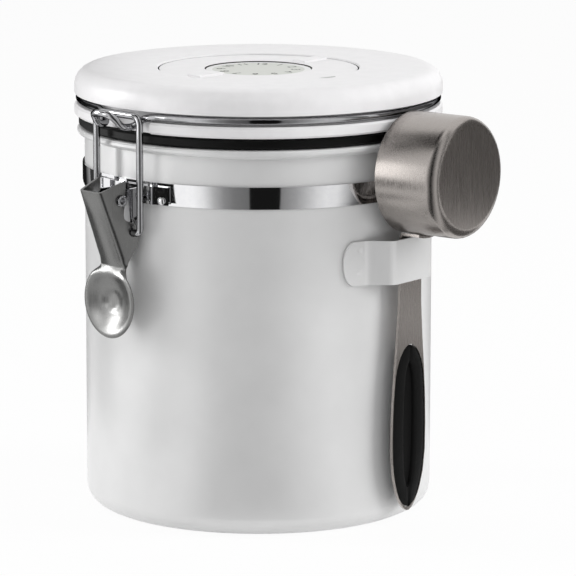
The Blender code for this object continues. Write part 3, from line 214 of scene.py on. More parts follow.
# How far it stands proud, how blunt its swell is over the rim and over the closed ends, its edges' drop
GRIP_PROUD, GRIP_SWELL_POWER, GRIP_END_POWER, GRIP_EDGE_DROP = 0.34, 2.4, 3, 0.3
GRIP_CREASE = math.radians(60)
# The slot down its middle, the narrowest it gets, and the most of the grip's width that it takes
SLOT_MIDDLE, SLOT_REACH, SLOT_HALF, SLOT_DEPTH = 35.2, 22.2, 3.0, 1.1
SLOT_POWER, SLOT_NARROWEST, SLOT_SHARE = 2.6, 0.35, 0.4
# Its section: the shares of its half width where its floor starts to rise and its wall stands, and its lip
SLOT_FLOOR, SLOT_WALL = 0.7, 0.96
SLOT_LIP_ACROSS, SLOT_LIP_DEPTH = 0.12, 0.32
# The raised rim's points, as shares of the way from the slot to the edge
RIM_SHARES = (0.12, 0.24, 0.4, 0.55, 0.7, 0.82, 0.91, 0.97, 1.0)

# Grey half-oval mark beside the dial, as a thin sheet on the cover's slope
POINTER_AZIMUTH = math.radians(-2.3)
POINTER_START, POINTER_DEPTH, POINTER_HALF = 36.0, 2.3, 3.5
POINTER_UP, POINTER_SLOPE = 154.43, 0.4 / 22.8
POINTER_RINGS = 4

# --------------------------------------------------------------------------------------------------


def linear(colour):
    """Turns an sRGB colour such as #C0C0C0 to the linear values that Blender's sockets take."""
    shares = [int(colour[place : place + 2], 16) / 255 for place in (1, 3, 5)]
    curved = [s / 12.92 if s <= 0.04045 else ((s + 0.055) / 1.055) ** 2.4 for s in shares]
    return (*curved, 1)


def add(tree, kind, inputs=None, **settings):
    """Adds a node with its settings, and its inputs as values or as the sockets they are linked to."""
    node = tree.nodes.new(kind)
    for name, value in settings.items():
        setattr(node, name, value)
    for socket, value in (inputs or {}).items():
        if isinstance(value, bpy.types.NodeSocket):
            tree.links.new(value, node.inputs[socket])
        else:
            node.inputs[socket].default_value = value
    return node


def empty_material(name):
    """A new material and its node tree, with nothing in it yet."""
    material = bpy.data.materials.new(name)
    material.use_nodes = True
    material.node_tree.nodes.clear()
    return material, material.node_tree


def grains(tree, width_mm, length_mm=None):
    """A noise whose grains are that wide, and drawn out along Z to a brushed grain's length."""
    place = add(tree, "ShaderNodeTexCoord").outputs["Object"]
    fine = 1 / (width_mm * MM)
    long = 1 / ((length_mm or width_mm) * MM)
    scale = (fine, fine, long)
    stretched = add(tree, "ShaderNodeVectorMath", {0: place, 1: scale}, operation="MULTIPLY")
    noise = add(tree, "ShaderNodeTexNoise", {"Vector": stretched.outputs[0], "Scale": 1.0, "Detail": 2.0})
    return noise.outputs["Fac"]


def spread(tree, source, low, high):
    """Maps a noise that runs from about 0.3 to 0.7 to values from low to high."""
    inputs = {"Value": source, "From Min": 0.3, "From Max": 0.7, "To Min": low, "To Max": high}
    return add(tree, "ShaderNodeMapRange", inputs).outputs["Result"]


def shade_between(tree, source, dark, light):
    """Mixes two colours by a noise."""
    fac = spread(tree, source, 0.0, 1.0)
    inputs = {0: fac, 6: linear(dark), 7: linear(light)}
    return add(tree, "ShaderNodeMix", inputs, data_type="RGBA").outputs[2]


def in_ring(tree, inner_mm, outer_mm, low_mm, high_mm):
    """1 on the surface between two radii round the can's axis and between two heights, and 0 elsewhere."""
    place = add(tree, "ShaderNodeTexCoord").outputs["Object"]
    flat = add(tree, "ShaderNodeVectorMath", {0: place, 1: (1, 1, 0)}, operation="MULTIPLY")
    radius = add(tree, "ShaderNodeVectorMath", {0: flat.outputs[0]}, operation="LENGTH").outputs["Value"]
    height = add(tree, "ShaderNodeSeparateXYZ", {0: place}).outputs["Z"]
    mask = 1.0
    for value, limit, test in (
        (radius, inner_mm, "GREATER_THAN"),
        (radius, outer_mm, "LESS_THAN"),
        (height, low_mm, "GREATER_THAN"),
        (height, high_mm, "LESS_THAN"),
    ):
        passed = add(tree, "ShaderNodeMath", {0: value, 1: limit * MM}, operation=test)
        mask = add(tree, "ShaderNodeMath", {0: passed.outputs[0], 1: mask}, operation="MULTIPLY").outputs[0]
    return mask


def white_lacquer(name, colour, shade):
    """Satin white lacquer, sprayed on steel and baked: even, slightly pearly, with a faint orange peel."""
    material, tree = empty_material(name)
    peel = grains(tree, width_mm=0.9)
    height = add(tree, "ShaderNodeBump", {"Height": peel, "Strength": 0.12, "Distance": 0.02 * MM})
    inputs = {
        "Base Color": shade_between(tree, grains(tree, width_mm=14), shade, colour),
        "Metallic": 0.2,
        "Roughness": 0.34,
        "Normal": height.outputs[0],
    }
    shader = add(tree, "ShaderNodeBsdfPrincipled", inputs)
    add(tree, "ShaderNodeOutputMaterial", {0: shader.outputs[0]})
    return material


def moulded_plastic(name, colour, shade, roughness=0.36, ring=None, ring_colour=None):
    """White injection-moulded plastic: a half-gloss skin from a polished mould, with faint flow marks."""
    material, tree = empty_material(name)
    flow = grains(tree, width_mm=5)
    skin = grains(tree, width_mm=0.35)
    height = add(tree, "ShaderNodeBump", {"Height": skin, "Strength": 0.1, "Distance": 0.01 * MM})
    tone = shade_between(tree, flow, shade, colour)
    if ring:
        inputs = {0: in_ring(tree, *ring), 6: tone, 7: linear(ring_colour)}
        tone = add(tree, "ShaderNodeMix", inputs, data_type="RGBA").outputs[2]
    inputs = {
        "Base Color": tone,
        "Roughness": spread(tree, skin, roughness - 0.03, roughness + 0.03),
        "IOR": 1.53,
        "Normal": height.outputs[0],
    }
    shader = add(tree, "ShaderNodeBsdfPrincipled", inputs)
    add(tree, "ShaderNodeOutputMaterial", {0: shader.outputs[0]})
    return material


def polished_steel(name, colour, shade, roughness, waviness, edge_tint="#FFFFFF"):
    """Stainless steel, polished bright: sharp reflections that waver a little, tinted at grazing edges,
    where a dark tint paints shade.
    """
    material, tree = empty_material(name)
    wave = grains(tree, width_mm=6)
    height = add(tree, "ShaderNodeBump", {"Height": wave, "Strength": waviness, "Distance": 0.05 * MM})
    inputs = {
        "Base Color": shade_between(tree, grains(tree, width_mm=2), shade, colour),
        "Metallic": 1.0,
        "Roughness": spread(tree, grains(tree, width_mm=0.8), roughness * 0.7, roughness * 1.3),
        "Specular Tint": linear(edge_tint),
        "Normal": height.outputs[0],
    }
    shader = add(tree, "ShaderNodeBsdfPrincipled", inputs)
    add(tree, "ShaderNodeOutputMaterial", {0: shader.outputs[0]})
    return material


def brushed_steel(name, colour, shade, roughness, line_mm=0.16, depth=0.25):
    """Stainless steel brushed with a fine belt: long upright scratches that smear reflections sideways."""
    material, tree = empty_material(name)
    scratch = grains(tree, width_mm=line_mm, length_mm=12)
    height = add(tree, "ShaderNodeBump", {"Height": scratch, "Strength": depth, "Distance": 0.02 * MM})
    inputs = {
        "Base Color": shade_between(tree, scratch, shade, colour),
        "Metallic": 1.0,
        "Roughness": spread(tree, scratch, roughness - 0.05, roughness + 0.07),
        "Normal": height.outputs[0],
    }
    shader = add(tree, "ShaderNodeBsdfPrincipled", inputs)
    add(tree, "ShaderNodeOutputMaterial", {0: shader.outputs[0]})
    return material


def black_silicone(name, colour, shade, grain_mm, roughness, depth):
    """Black silicone from a blasted mould: matte, with a fine pebbled grain."""
    material, tree = empty_material(name)
    pebble = grains(tree, width_mm=grain_mm)
    height = add(tree, "ShaderNodeBump", {"Height": pebble, "Strength": depth, "Distance": 0.05 * MM})
    inputs = {
        "Base Color": shade_between(tree, pebble, shade, colour),
        "Roughness": spread(tree, pebble, roughness - 0.08, roughness + 0.08),
        "IOR": 1.41,
        "Specular IOR Level": 0.25,
        "Normal": height.outputs[0],
    }
    shader = add(tree, "ShaderNodeBsdfPrincipled", inputs)
    add(tree, "ShaderNodeOutputMaterial", {0: shader.outputs[0]})
    return material


def pad_print(name, colour, shade):
    """Pad-printed ink: a thin matt film whose cover varies a little from spot to spot."""
    material, tree = empty_material(name)
    tone = shade_between(tree, grains(tree, width_mm=0.3), shade, colour)
    shader = add(tree, "ShaderNodeBsdfPrincipled", {"Base Color": tone, "Roughness": 0.5})
    add(tree, "ShaderNodeOutputMaterial", {0: shader.outputs[0]})
    return material


def dress(node, material, edge=None):
    """Gives a CAD node its finish, and smooth shading between its hard creases or over rounded edges."""
    mesh = node.data
    mesh.materials.clear()
    mesh.materials.append(material)
    packed_normals = mesh.attributes.get("custom_normal")
    if packed_normals:
        mesh.attributes.remove(packed_normals)
    mesh.shade_smooth()
    weld = node.modifiers.new("weld", "WELD")
    weld.merge_threshold = WELD_DISTANCE
    if edge:
        soften(node, edge)
    else:
        harden_creases(node, CREASE_ANGLE)


def harden_creases(piece, angle):
    """Keeps the shading of two faces apart where they meet at a sharper angle."""
    crease = piece.modifiers.new("crease", "EDGE_SPLIT")
    crease.split_angle = angle


def soften(piece, width):
    """Rounds a piece's sharp edges and keeps its flat faces flat in shading."""
    bevel = piece.modifiers.new("bevel", "BEVEL")
    bevel.width = width
    bevel.segments = EDGE_SEGMENTS
    bevel.limit_method = "ANGLE"
    bevel.angle_limit = EDGE_ANGLE
    normals = piece.modifiers.new("normals", "WEIGHTED_NORMAL")
    normals.keep_sharp = True


def smooth_path(points, steps):
    """A smooth curve through given points, with the same number of steps in each span."""
    points = [Vector(point) for point in points]
    ends = [2 * points[0] - points[1], *points, 2 * points[-1] - points[-2]]
    path = []
    for before, start, end, after in zip(ends, ends[1:], ends[2:], ends[3:]):
        for step in range(steps):
            t = step / steps
            pull = (end - before) * t + (2 * before - 5 * start + 4 * end - after) * t**2
            path.append(start + (pull + (3 * start - before - 3 * end + after) * t**3) / 2)
    return path + [points[-1]]


def value_at(table, place):
    """The value at a place in a table of rising (place, value) pairs."""
    for (low, first), (high, second) in zip(table, table[1:]):
        if place <= high:
            return first + (second - first) * (place - low) / (high - low)
    return table[-1][1]


def ease(share):
    """Turns a share from 0 to 1 to one that starts and ends softly."""
    share = min(max(share, 0), 1)
    return share * share * (3 - 2 * share)


def mirrored(points):
    """The second half of a path that is the same on both sides of its middle."""
    return [Vector((x, -y, z)) for x, y, z in reversed(points)]


def linked(name, data):
    """A new object in the scene with that data."""
    piece = bpy.data.objects.new(name, data)
    bpy.context.scene.collection.objects.link(piece)
    return piece


def mesh_piece(name, bm):
    """A smooth-shaded object from a mesh under construction."""
    bmesh.ops.recalc_face_normals(bm, faces=bm.faces)
    mesh = bpy.data.meshes.new(name)
    bm.to_mesh(mesh)
    bm.free()
    mesh.shade_smooth()
    return linked(name, mesh)


def grid_faces(bm, rows):
    """Fills the quads between rows of points."""
    grid = [[bm.verts.new(point) for point in row] for row in rows]
    for low, high in zip(grid, grid[1:]):
        for one, two, three, four in zip(low, low[1:], high[1:], high):
            bm.faces.new((one, two, three, four))
    return grid


def settle(piece):
    """Makes a piece's modifiers part of its mesh."""
    graph = bpy.context.evaluated_depsgraph_get()
    settled = bpy.data.meshes.new_from_object(piece.evaluated_get(graph))
    piece.modifiers.clear()
    piece.data = settled


def bent_sheet(name, rows, thickness, edge):
    """Sheet metal from a grid of middle points, with edges rounded off by tumbling."""
    bm = bmesh.new()
    grid_faces(bm, rows)
    piece = mesh_piece(name, bm)
    solid = piece.modifiers.new("thickness", "SOLIDIFY")
    solid.thickness = thickness
    solid.offset = 0
    solid.use_even_offset = True
    settle(piece)
    soften(piece, edge)
    settle(piece)
    return piece


def put_in_place(piece, material, body, node, azimuth):
    """Turns a piece drawn in millimetres along local X to its place, and has it stand for a CAD node."""
    piece.data.transform(Matrix.Rotation(azimuth, 4, "Z") @ Matrix.Scale(MM, 4))
    piece.data.materials.append(material)
    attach(piece, body)
    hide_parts(node)
    return piece


def channel_row(share, back_out, back_up, flare):
    """Half a row of the lever's channel, from a flange's back edge over the fold to the front's middle."""
    up = LEVER_TOP_UP + (LEVER_NECK_UP - LEVER_TOP_UP) * share
    out = LEVER_TOP_OUT + (LEVER_NECK_OUT - LEVER_TOP_OUT) * share
    half = LEVER_TOP_HALF + (LEVER_NECK_HALF - LEVER_TOP_HALF) * share
    back = Vector((back_out, half + flare * (out - back_out), back_up))
    fold = Vector((out, half, up))
    middle = Vector((out, 0, up))
    reach = min(LEVER_FOLD, (back - fold).length * LEVER_FOLD_SHARE)
    start = fold + (back - fold).normalized() * reach
    end = fold + (middle - fold).normalized() * reach
    crown = LEVER_CROWN * ease(share / LEVER_CROWN_SHARE)
    quarters = [step / 4 for step in range(5)]
    row = [back.lerp(start, t) for t in quarters[:-1]]
    row += [start.lerp(fold, t).lerp(fold.lerp(end, t), t) for t in quarters]
    for t in quarters[1:]:
        point = end.lerp(middle, t)
        point.x = out + crown * (1 - (point.y / end.y) ** 2)
        row.append(point)
    return row


def tab_rows(neck):
    """Half rows below the lever's neck, which settle from the channel's last row into the dished tab."""
    widest = neck[0].y
    drops = [LEVER_NECK_OUT - point.x for point in neck]
    shares = [point.y / widest for point in neck]
    dish = [tuple(point) for point in smooth_path(TAB_PROFILE, DISH_SPAN_STEPS)]
    heights = [LEVER_NECK_UP - step * STRAP_PITCH for step in range(1, STRAP_ROWS + 1)]
    first = math.acos((heights[-1] - STRAP_PITCH - TAB_UP) / TAB_RADIUS)
    for step in range(TAB_ROWS + 1):
        turn = first + (TAB_LAST_ANGLE - first) * step / TAB_ROWS
        heights.append(TAB_UP + TAB_RADIUS * math.cos(turn))
    rows = []
    for height in heights:
        settled = ease((LEVER_NECK_UP + SETTLE_ABOVE - height) / SETTLE_LENGTH)
        if height > NECK_ARC_LOW:
            half = NECK_ARC_ACROSS - math.sqrt(NECK_ARC_RADIUS**2 - min(height - NECK_ARC_UP, 0) ** 2)
        else:
            half = math.sqrt(TAB_RADIUS**2 - (height - TAB_UP) ** 2)
        half *= 1 + (widest / LEVER_NECK_HALF - 1) * (1 - settled)
        strap = LEVER_NECK_OUT - STRAP_LEAN * (LEVER_NECK_UP - height)
        row = []
        for column, (share, drop) in enumerate(zip(shares, drops)):
            even = math.sin(math.radians(90) * (1 - column / (len(shares) - 1)))
            across = half * (share + (even - share) * settled)
            dished = TAB_PLANE + value_at(dish, math.hypot(across, height - TAB_UP))
            row.append(Vector((strap - drop * (1 - settled) + (dished - strap) * settled, across, height)))
        rows.append(row)
    return rows


def clamp_lever(steel):
    """The pressed lever: an open channel with a dished round tab, and holes for the pivot and the loop."""
    halves = [channel_row(*edge) for edge in smooth_path(LEVER_BACK_EDGE, LEVER_SPAN_ROWS)]
    halves += tab_rows(halves[-1])
    rows = [half + mirrored(half[:-1]) for half in halves]
    lever = bent_sheet("satin_lever", rows, LEVER_THICKNESS, LEVER_EDGE)
    for out, up, radius in LEVER_HOLES:
        bm = bmesh.new()
        bmesh.ops.create_cone(
            bm,
            cap_ends=True,
            segments=HOLE_STEPS,
            radius1=radius,
            radius2=radius,
            depth=HOLE_DEPTH,
            matrix=Matrix.Translation((out, 0, up)) @ Matrix.Rotation(math.radians(90), 4, "X"),
        )
        cutter = mesh_piece("cutter", bm)
        hole = lever.modifiers.new("hole", "BOOLEAN")
        hole.object = cutter
        hole.operation = "DIFFERENCE"
        settle(lever)
        bpy.data.objects.remove(cutter)
    harden_creases(lever, CREASE_ANGLE)
    return put_in_place(lever, steel, "clamp_lever", "latch_lever", LATCH_AZIMUTH)


def pivot_rivet(steel):
    """The lever's pivot: a tubular rivet whose rolled heads leave a dark bore in the middle."""
    outline = RIVET_OUTLINE + [(radius, -across) for radius, across in reversed(RIVET_OUTLINE)]
    rows = []
    for step in range(RIVET_STEPS + 1):
        turn = math.tau * step / RIVET_STEPS
        rows.append([Vector((r * math.cos(turn), across, r * math.sin(turn))) for r, across in outline])
    bm = bmesh.new()
    grid_faces(bm, rows)
    bmesh.ops.remove_doubles(bm, verts=bm.verts, dist=JOINED_WITHIN)
    bmesh.ops.translate(bm, verts=bm.verts, vec=(LEVER_PIVOT_OUT, 0, LEVER_PIVOT_UP))
    rivet = mesh_piece("tubular_pivot_rivet", bm)
    return put_in_place(rivet, steel, "can", "latch_pivot_pin", LATCH_AZIMUTH)


def round_wire(name, steel, points, body, node):
    """Drawn wire along a path in millimetres, with round shading all along it."""
    curve = bpy.data.curves.new(name, "CURVE")
    curve.dimensions = "3D"
    curve.bevel_depth = WIRE_RADIUS * MM
    curve.bevel_resolution = WIRE_SMOOTHNESS
    curve.use_fill_caps = True
    spline = curve.splines.new("POLY")
    spline.points.add(len(points) - 1)
    for target, point in zip(spline.points, points):
        target.co = (*(point * MM), 1)
    curve.materials.append(steel)
    piece = linked(name, curve)
    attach(piece, body)
    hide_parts(node)
    return piece


def clamp_loop(steel):
    """The wire loop from the lever up to the lid's hook."""
    side = [(LINK_OUT, LINK_HALF - LINK_END, LINK_UP)]
    for degrees in range(0, 91, 15):
        turn = math.radians(degrees)
        across = LINK_HALF - LINK_BEND * (1 - math.sin(turn))
        side.append((LINK_OUT, across, LINK_UP + LINK_BEND * (1 - math.cos(turn))))
    side += [(LINK_OUT, LINK_HALF, LINK_UP + rise) for rise in LINK_LEG_RISES]
    for degrees in range(0, 91, 10):
        turn = math.radians(degrees)
        across = LINK_HALF - LINK_CORNER * (1 - math.cos(turn))
        side.append((LINK_OUT, across, GROOVE_UP - LINK_CORNER * (1 - math.sin(turn))))
    to_latch = Matrix.Rotation(LATCH_AZIMUTH, 4, "Z")
    loop = [to_latch @ point for point in [Vector(point) for point in side] + mirrored(side)]
    return round_wire("chromed_loop", steel, loop, "clamp_loop", "latch_link")


def lid_hook():
    """The hook at the latch, from the groove round its tip and back."""
    root = math.sqrt(RING_RADIUS**2 - HOOK_ROOT_HALF**2)
    dip = GROOVE_UP - HOOK_DIP
    half = [(root, HOOK_ROOT_HALF, GROOVE_UP), HOOK_LEAVES]
    half += [(LINK_OUT + HOOK_REACH * x, HOOK_HALF * y, dip + HOOK_RISE * z) for x, y, z in HOOK_SHARES]
    half = [Vector(point) for point in half]
    to_latch = Matrix.Rotation(LATCH_AZIMUTH, 4, "Z")
    return [to_latch @ point for point in smooth_path(half + mirrored(half[:-1]), HOOK_SPAN_STEPS)]


def hinge_leg():
    """One eye round the hinge's pin, and the leg from it up into the groove."""
    path = []
    for step in range(EYE_STEPS + 1):
        turn = EYE_END + (math.pi - EYE_END) * step / EYE_STEPS
        up = HINGE_UP + EYE_RADIUS * math.sin(turn)
        path.append((HINGE_OUT + EYE_RADIUS * math.cos(turn), EYE_ACROSS, up))
    leg = HINGE_OUT - EYE_RADIUS
    path += [(leg, EYE_ACROSS, HINGE_UP + rise) for rise in LEG_RISES]
    for step in range(LEG_BEND_STEPS + 1):
        turn = math.radians(90) * step / LEG_BEND_STEPS
        lean = 1 - math.cos(turn)
        up = GROOVE_UP - LEG_BEND_UP * (1 - math.sin(turn))
        path.append((leg - LEG_BEND_IN * lean, EYE_ACROSS + LEG_BEND_ACROSS * lean, up))
    path.append((math.sqrt(RING_RADIUS**2 - LEG_JOINS_ACROSS**2), LEG_JOINS_ACROSS, GROOVE_UP))
    to_hinge = Matrix.Rotation(HINGE_AZIMUTH, 4, "Z")
    return [to_hinge @ Vector(point) for point in path]


def lid_ring(steel):
    """The lid's wire: two eyes at the hinge, the ring in the lid's groove and the hook at the latch."""
    hook, half = lid_hook(), hinge_leg()
    start = math.atan2(half[-1].y, half[-1].x)
    stop = math.atan2(hook[-1].y, hook[-1].x) + math.tau
    count = round((stop - start) / RING_STEP)
    for step in range(1, count):
        turn = start + (stop - start) * step / count
        half.append(Vector((RING_RADIUS * math.cos(turn), RING_RADIUS * math.sin(turn), GROOVE_UP)))
    other = [Vector((-point.x, point.y, point.z)) for point in reversed(half)]
    return round_wire("chromed_lid_wire", steel, half + hook[::-1] + other, "lid", "lid_wire")


def holder_strip(lacquer):
    """The scoop's holder, bent from strip: two feet welded to the wall and a flat front that stands off."""
    profile = smooth_path([(*point, 0) for point in HOLDER_PROFILE], HOLDER_SPAN_STEPS)
    path = [(point.x, point.y, HOLDER_HALF) for point in profile]
    for step in range(1, FOOT_STEPS + 1):
        arc = FOOT_START + (FOOT_END - FOOT_START) * step / FOOT_WHOLE
        half = HOLDER_HALF * round_end(FOOT_END - arc, FOOT_ROUND)
        turn = arc / WALL_RADIUS
        path.append((FOOT_RADIUS * math.cos(turn), FOOT_RADIUS * math.sin(turn), half))
    strip = [(x, -y, half) for x, y, half in reversed(path[1:])] + path
    rows = []
    for step in range(-HOLDER_HALF_ROWS, HOLDER_HALF_ROWS + 1):
        row = []
        for x, y, half in strip:
            up = step / HOLDER_HALF_ROWS * half
            dent = 0
            for weld_arc, weld_up in WELDS:
                away = math.hypot(abs(math.atan2(y, x)) * WALL_RADIUS - weld_arc, up - weld_up)
                dent += WELD_DENT * math.exp(-((away / WELD_RADIUS) ** 2))
            row.append(Vector((x - dent, y, HOLDER_MIDDLE + up)))
        rows.append(row)
    holder = bent_sheet("lacquered_holder", rows, HOLDER_THICKNESS, HOLDER_EDGE)
    return put_in_place(holder, lacquer, "can", "scoop_holder", HOLDER_AZIMUTH)


def handle_half(up):
    """Half the handle's width at a height."""
    down = (HANDLE_TOP - up) / (HANDLE_TOP - HANDLE_TIP)
    half = HANDLE_HALF + HANDLE_SWELL * ease((down - SWELL_START) / SWELL_LENGTH)
    above_tip = (up - HANDLE_TIP) / TIP_LENGTH
    if above_tip >= 1:
        return half
    return half * max(1 - (1 - above_tip) ** TIP_TAPER, 0) ** TIP_BLUNTNESS


def round_end(distance, length):
    """How much of the full width is left at a distance from a round end of that length."""
    missing = 1 - min(max(distance / length, 0), 1)
    return math.sqrt(max(1 - missing**2, 0))


def grip_half(up):
    """Half the grip's outline at a height, from the slot's middle to the edge, as across and out."""
    half = (handle_half(up) - GRIP_RIM) * round_end(GRIP_HIGH - up, GRIP_TOP_ROUND)
    half *= round_end(up - GRIP_LOW, GRIP_TIP_ROUND)
    along = abs(up - SLOT_MIDDLE) / SLOT_REACH
    slot = SLOT_HALF * math.sqrt(max(1 - along**SLOT_POWER, 0))
    slotted = slot > SLOT_NARROWEST
    depth = SLOT_DEPTH * slotted
    slot = min(max(slot, SLOT_NARROWEST), half * SLOT_SHARE)
    side = [(0, -depth), (slot * SLOT_FLOOR, -depth), (slot * SLOT_WALL, -depth * SLOT_WALL)]
    side.append((slot + SLOT_LIP_ACROSS, -SLOT_LIP_DEPTH * slotted))
    for share in RIM_SHARES:
        if slotted:
            swell = 1 - abs(2 * share - 1) ** GRIP_SWELL_POWER
        else:
            swell = 1 - share**GRIP_END_POWER
        height = GRIP_PROUD * math.sqrt(max(swell, 0)) - GRIP_EDGE_DROP * share**4
        side.append((slot + (half - slot) * share, height))
    return side


def soft_grip(silicone):
    """The handle's soft insert: a thick rounded ring round a long deep slot."""
    front, back = [], []
    for step in range(GRIP_ROWS + 1):
        # Rows lie closer at both ends, and the first and last stop short of a point
        turn = math.pi * (GRIP_STOPS_SHORT + (1 - 2 * GRIP_STOPS_SHORT) * step / GRIP_ROWS)
        share = (1 - math.cos(turn)) / 2
        up = GRIP_HIGH + (GRIP_LOW - GRIP_HIGH) * share
        face = HANDLE_FACE - (HANDLE_TOP - up) * HANDLE_LEAN
        side = grip_half(up)
        row = [(-across, out) for across, out in reversed(side[1:])] + side
        front.append([Vector((face + out, across, up)) for across, out in row])
        back.append([Vector((face - GRIP_DEPTH, across, up)) for across, out in row])
    bm = bmesh.new()
    rims = []
    for rows in (front, back):
        grid = grid_faces(bm, rows)
        inner = grid[1:-1]
        rims.append(grid[0] + [row[-1] for row in inner] + grid[-1][::-1] + [row[0] for row in inner[::-1]])
    near, far = rims
    for index, corner in enumerate(near):
        following = (index + 1) % len(near)
        bm.faces.new((corner, near[following], far[following], far[index]))
    grip = mesh_piece("silicone_grip", bm)
    harden_creases(grip, GRIP_CREASE)
    return put_in_place(grip, silicone, "scoop", "scoop_grip", SCOOP_AZIMUTH)


def printed_months(ink):
    """The numbers 1 to 12 round the disc, tops outward, as a thin print that turns with it."""
    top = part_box("month_disc")[1].z
    print_mesh = bmesh.new()
    for month in range(1, MONTHS + 1):
        figure = bpy.data.curves.new(f"month_{month}", "FONT")
        figure.body = str(month)
        figure.size = MONTH_SIZE
        figure.offset = MONTH_BOLDNESS
        figure.align_x = "CENTER"
        figure.align_y = "CENTER"
        holder = linked(f"month_{month}", figure)
        graph = bpy.context.evaluated_depsgraph_get()
        flat = bpy.data.meshes.new_from_object(holder.evaluated_get(graph))
        azimuth = MONTH_TOP_AZIMUTH - math.tau * month / MONTHS
        turn = Matrix.Rotation(azimuth, 4, "Z") @ Matrix.Translation((MONTH_RADIUS, 0, top + PRINT_LIFT))
        flat.transform(turn @ Matrix.Rotation(-math.pi / 2, 4, "Z"))
        print_mesh.from_mesh(flat)
        bpy.data.objects.remove(holder)
        bpy.data.meshes.remove(flat)
    mesh = bpy.data.meshes.new("month_print")
    print_mesh.to_mesh(mesh)
    print_mesh.free()
    mesh.materials.append(ink)
    piece = linked("month_print", mesh)
    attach(piece, "inner_dial")
    return piece


def pointer_print(ink):
    """A grey half-oval mark beside the dial, as a thin sheet on the lid's cover."""
    bm = bmesh.new()
    rows = []
    for ring in range(POINTER_RINGS + 1):
        reach = ring / POINTER_RINGS
        row = []
        for degrees in range(0, 181, 15):
            turn = math.radians(degrees)
            out = POINTER_START + POINTER_DEPTH * reach * math.sin(turn)
            across = POINTER_HALF * reach * math.cos(turn)
            climb = (math.hypot(out, across) - POINTER_START) * POINTER_SLOPE
            row.append(Vector((out, across, POINTER_UP + climb)))
        rows.append(row)
    grid_faces(bm, rows)
    bmesh.ops.remove_doubles(bm, verts=bm.verts, dist=JOINED_WITHIN)
    bm.transform(Matrix.Rotation(POINTER_AZIMUTH, 4, "Z") @ Matrix.Scale(MM, 4))
    piece = mesh_piece("pointer_print", bm)
    piece.data.materials.append(ink)
    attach(piece, "lid")
    return piece


def direction(azimuth, elevation):
    """The unit vector from the can towards a place round it, from angles in degrees."""
    turn, lift = math.radians(azimuth), math.radians(elevation)
    return Vector((math.cos(turn) * math.cos(lift), math.sin(turn) * math.cos(lift), math.sin(lift)))


def softbox(name, azimuth, elevation, distance, width, height, power, in_gloss=False):
    """A studio softbox that faces the can, and shows in its gloss or only lights it."""
    lamp = bpy.data.lights.new(name, "AREA")
    lamp.shape = "RECTANGLE"
    lamp.size = width
    lamp.size_y = height
    lamp.energy = power
    box = linked(name, lamp)
    way = direction(azimuth, elevation)
    facing = way.to_track_quat("Z", "Y").to_matrix().to_4x4()
    box.matrix_world = Matrix.Translation(CAMERA_AIM + way * distance) @ facing
    box.visible_glossy = in_gloss


def plain_paper(name, colour, strength=1.0):
    """Studio paper of one even brightness."""
    material, tree = empty_material(name)
    glow = add(tree, "ShaderNodeEmission", {"Color": linear(colour), "Strength": strength})
    add(tree, "ShaderNodeOutputMaterial", {0: glow.outputs[0]})
    return material


def graded_paper(name, middle, reach, shades):
    """Studio paper whose greys run with the angle round the can, within a reach of the middle."""
    material, tree = empty_material(name)
    place = add(tree, "ShaderNodeTexCoord").outputs["Object"]
    inputs = {"Vector": place, "Angle": math.radians(-middle)}
    turned = add(tree, "ShaderNodeVectorRotate", inputs, rotation_type="Z_AXIS")
    parts = add(tree, "ShaderNodeSeparateXYZ", {0: turned.outputs[0]})
    inputs = {0: parts.outputs["Y"], 1: parts.outputs["X"]}
    angle = add(tree, "ShaderNodeMath", inputs, operation="ARCTAN2")
    span = math.radians(reach)
    share = add(tree, "ShaderNodeMapRange", {"Value": angle.outputs[0], "From Min": -span, "From Max": span})
    ramp = add(tree, "ShaderNodeValToRGB", {0: share.outputs["Result"]})
    stops = ramp.color_ramp.elements
    while len(stops) < len(shades):
        stops.new(0.5)
    for stop, (position, grey) in zip(stops, shades):
        stop.position = position
        stop.color = linear(grey)
    glow = add(tree, "ShaderNodeEmission", {"Color": ramp.outputs[0], "Strength": 1.0})
    add(tree, "ShaderNodeOutputMaterial", {0: glow.outputs[0]})
    return material


def gloss_only(card, material):
    """A studio card that only shows in gloss, as the dark bands in polished steel."""
    card.data.materials.append(material)
    card.visible_camera = False
    card.visible_diffuse = False
    card.visible_shadow = False
    card.visible_transmission = False


def upright_card(name, azimuth, distance, width, low, high, colour, strength=1.0):
    """A card that stands round the can and faces it, from one height to another."""
    way = direction(azimuth, 0)
    side = Vector((-way.y, way.x, 0)) * (width / 2)
    bm = bmesh.new()
    grid_faces(bm, [[way * distance + side * x + Vector((0, 0, up)) for x in (-1, 1)] for up in (low, high)])
    gloss_only(mesh_piece(name, bm), plain_paper(name, colour, strength))


def level_card(name, x, y, radius, colour, height=0.3 * MM):
    """A round card that lies on the floor or hangs level above it."""
    bm = bmesh.new()
    place = Matrix.Translation((x, y, height))
    bmesh.ops.create_circle(bm, cap_ends=True, segments=24, radius=radius, matrix=place)
    gloss_only(mesh_piece(name, bm), plain_paper(name, colour))


def graded_screen(name, middle, reach, radius, height, inner, shades):
    """A screen curved round the can, wall and floor, whose greys run with the angle from its middle."""
    steps = 48
    rows = []
    for step in range(steps + 1):
        turn = math.radians(middle - reach + 2 * reach * step / steps)
        way = Vector((math.cos(turn), math.sin(turn), 0))
        lift = Vector((0, 0, 0.2 * MM))
        rows.append([way * inner + lift, way * radius + lift, way * radius + Vector((0, 0, height))])
    bm = bmesh.new()
    grid_faces(bm, rows)
    gloss_only(mesh_piece(name, bm), graded_paper(name, middle, reach, shades))


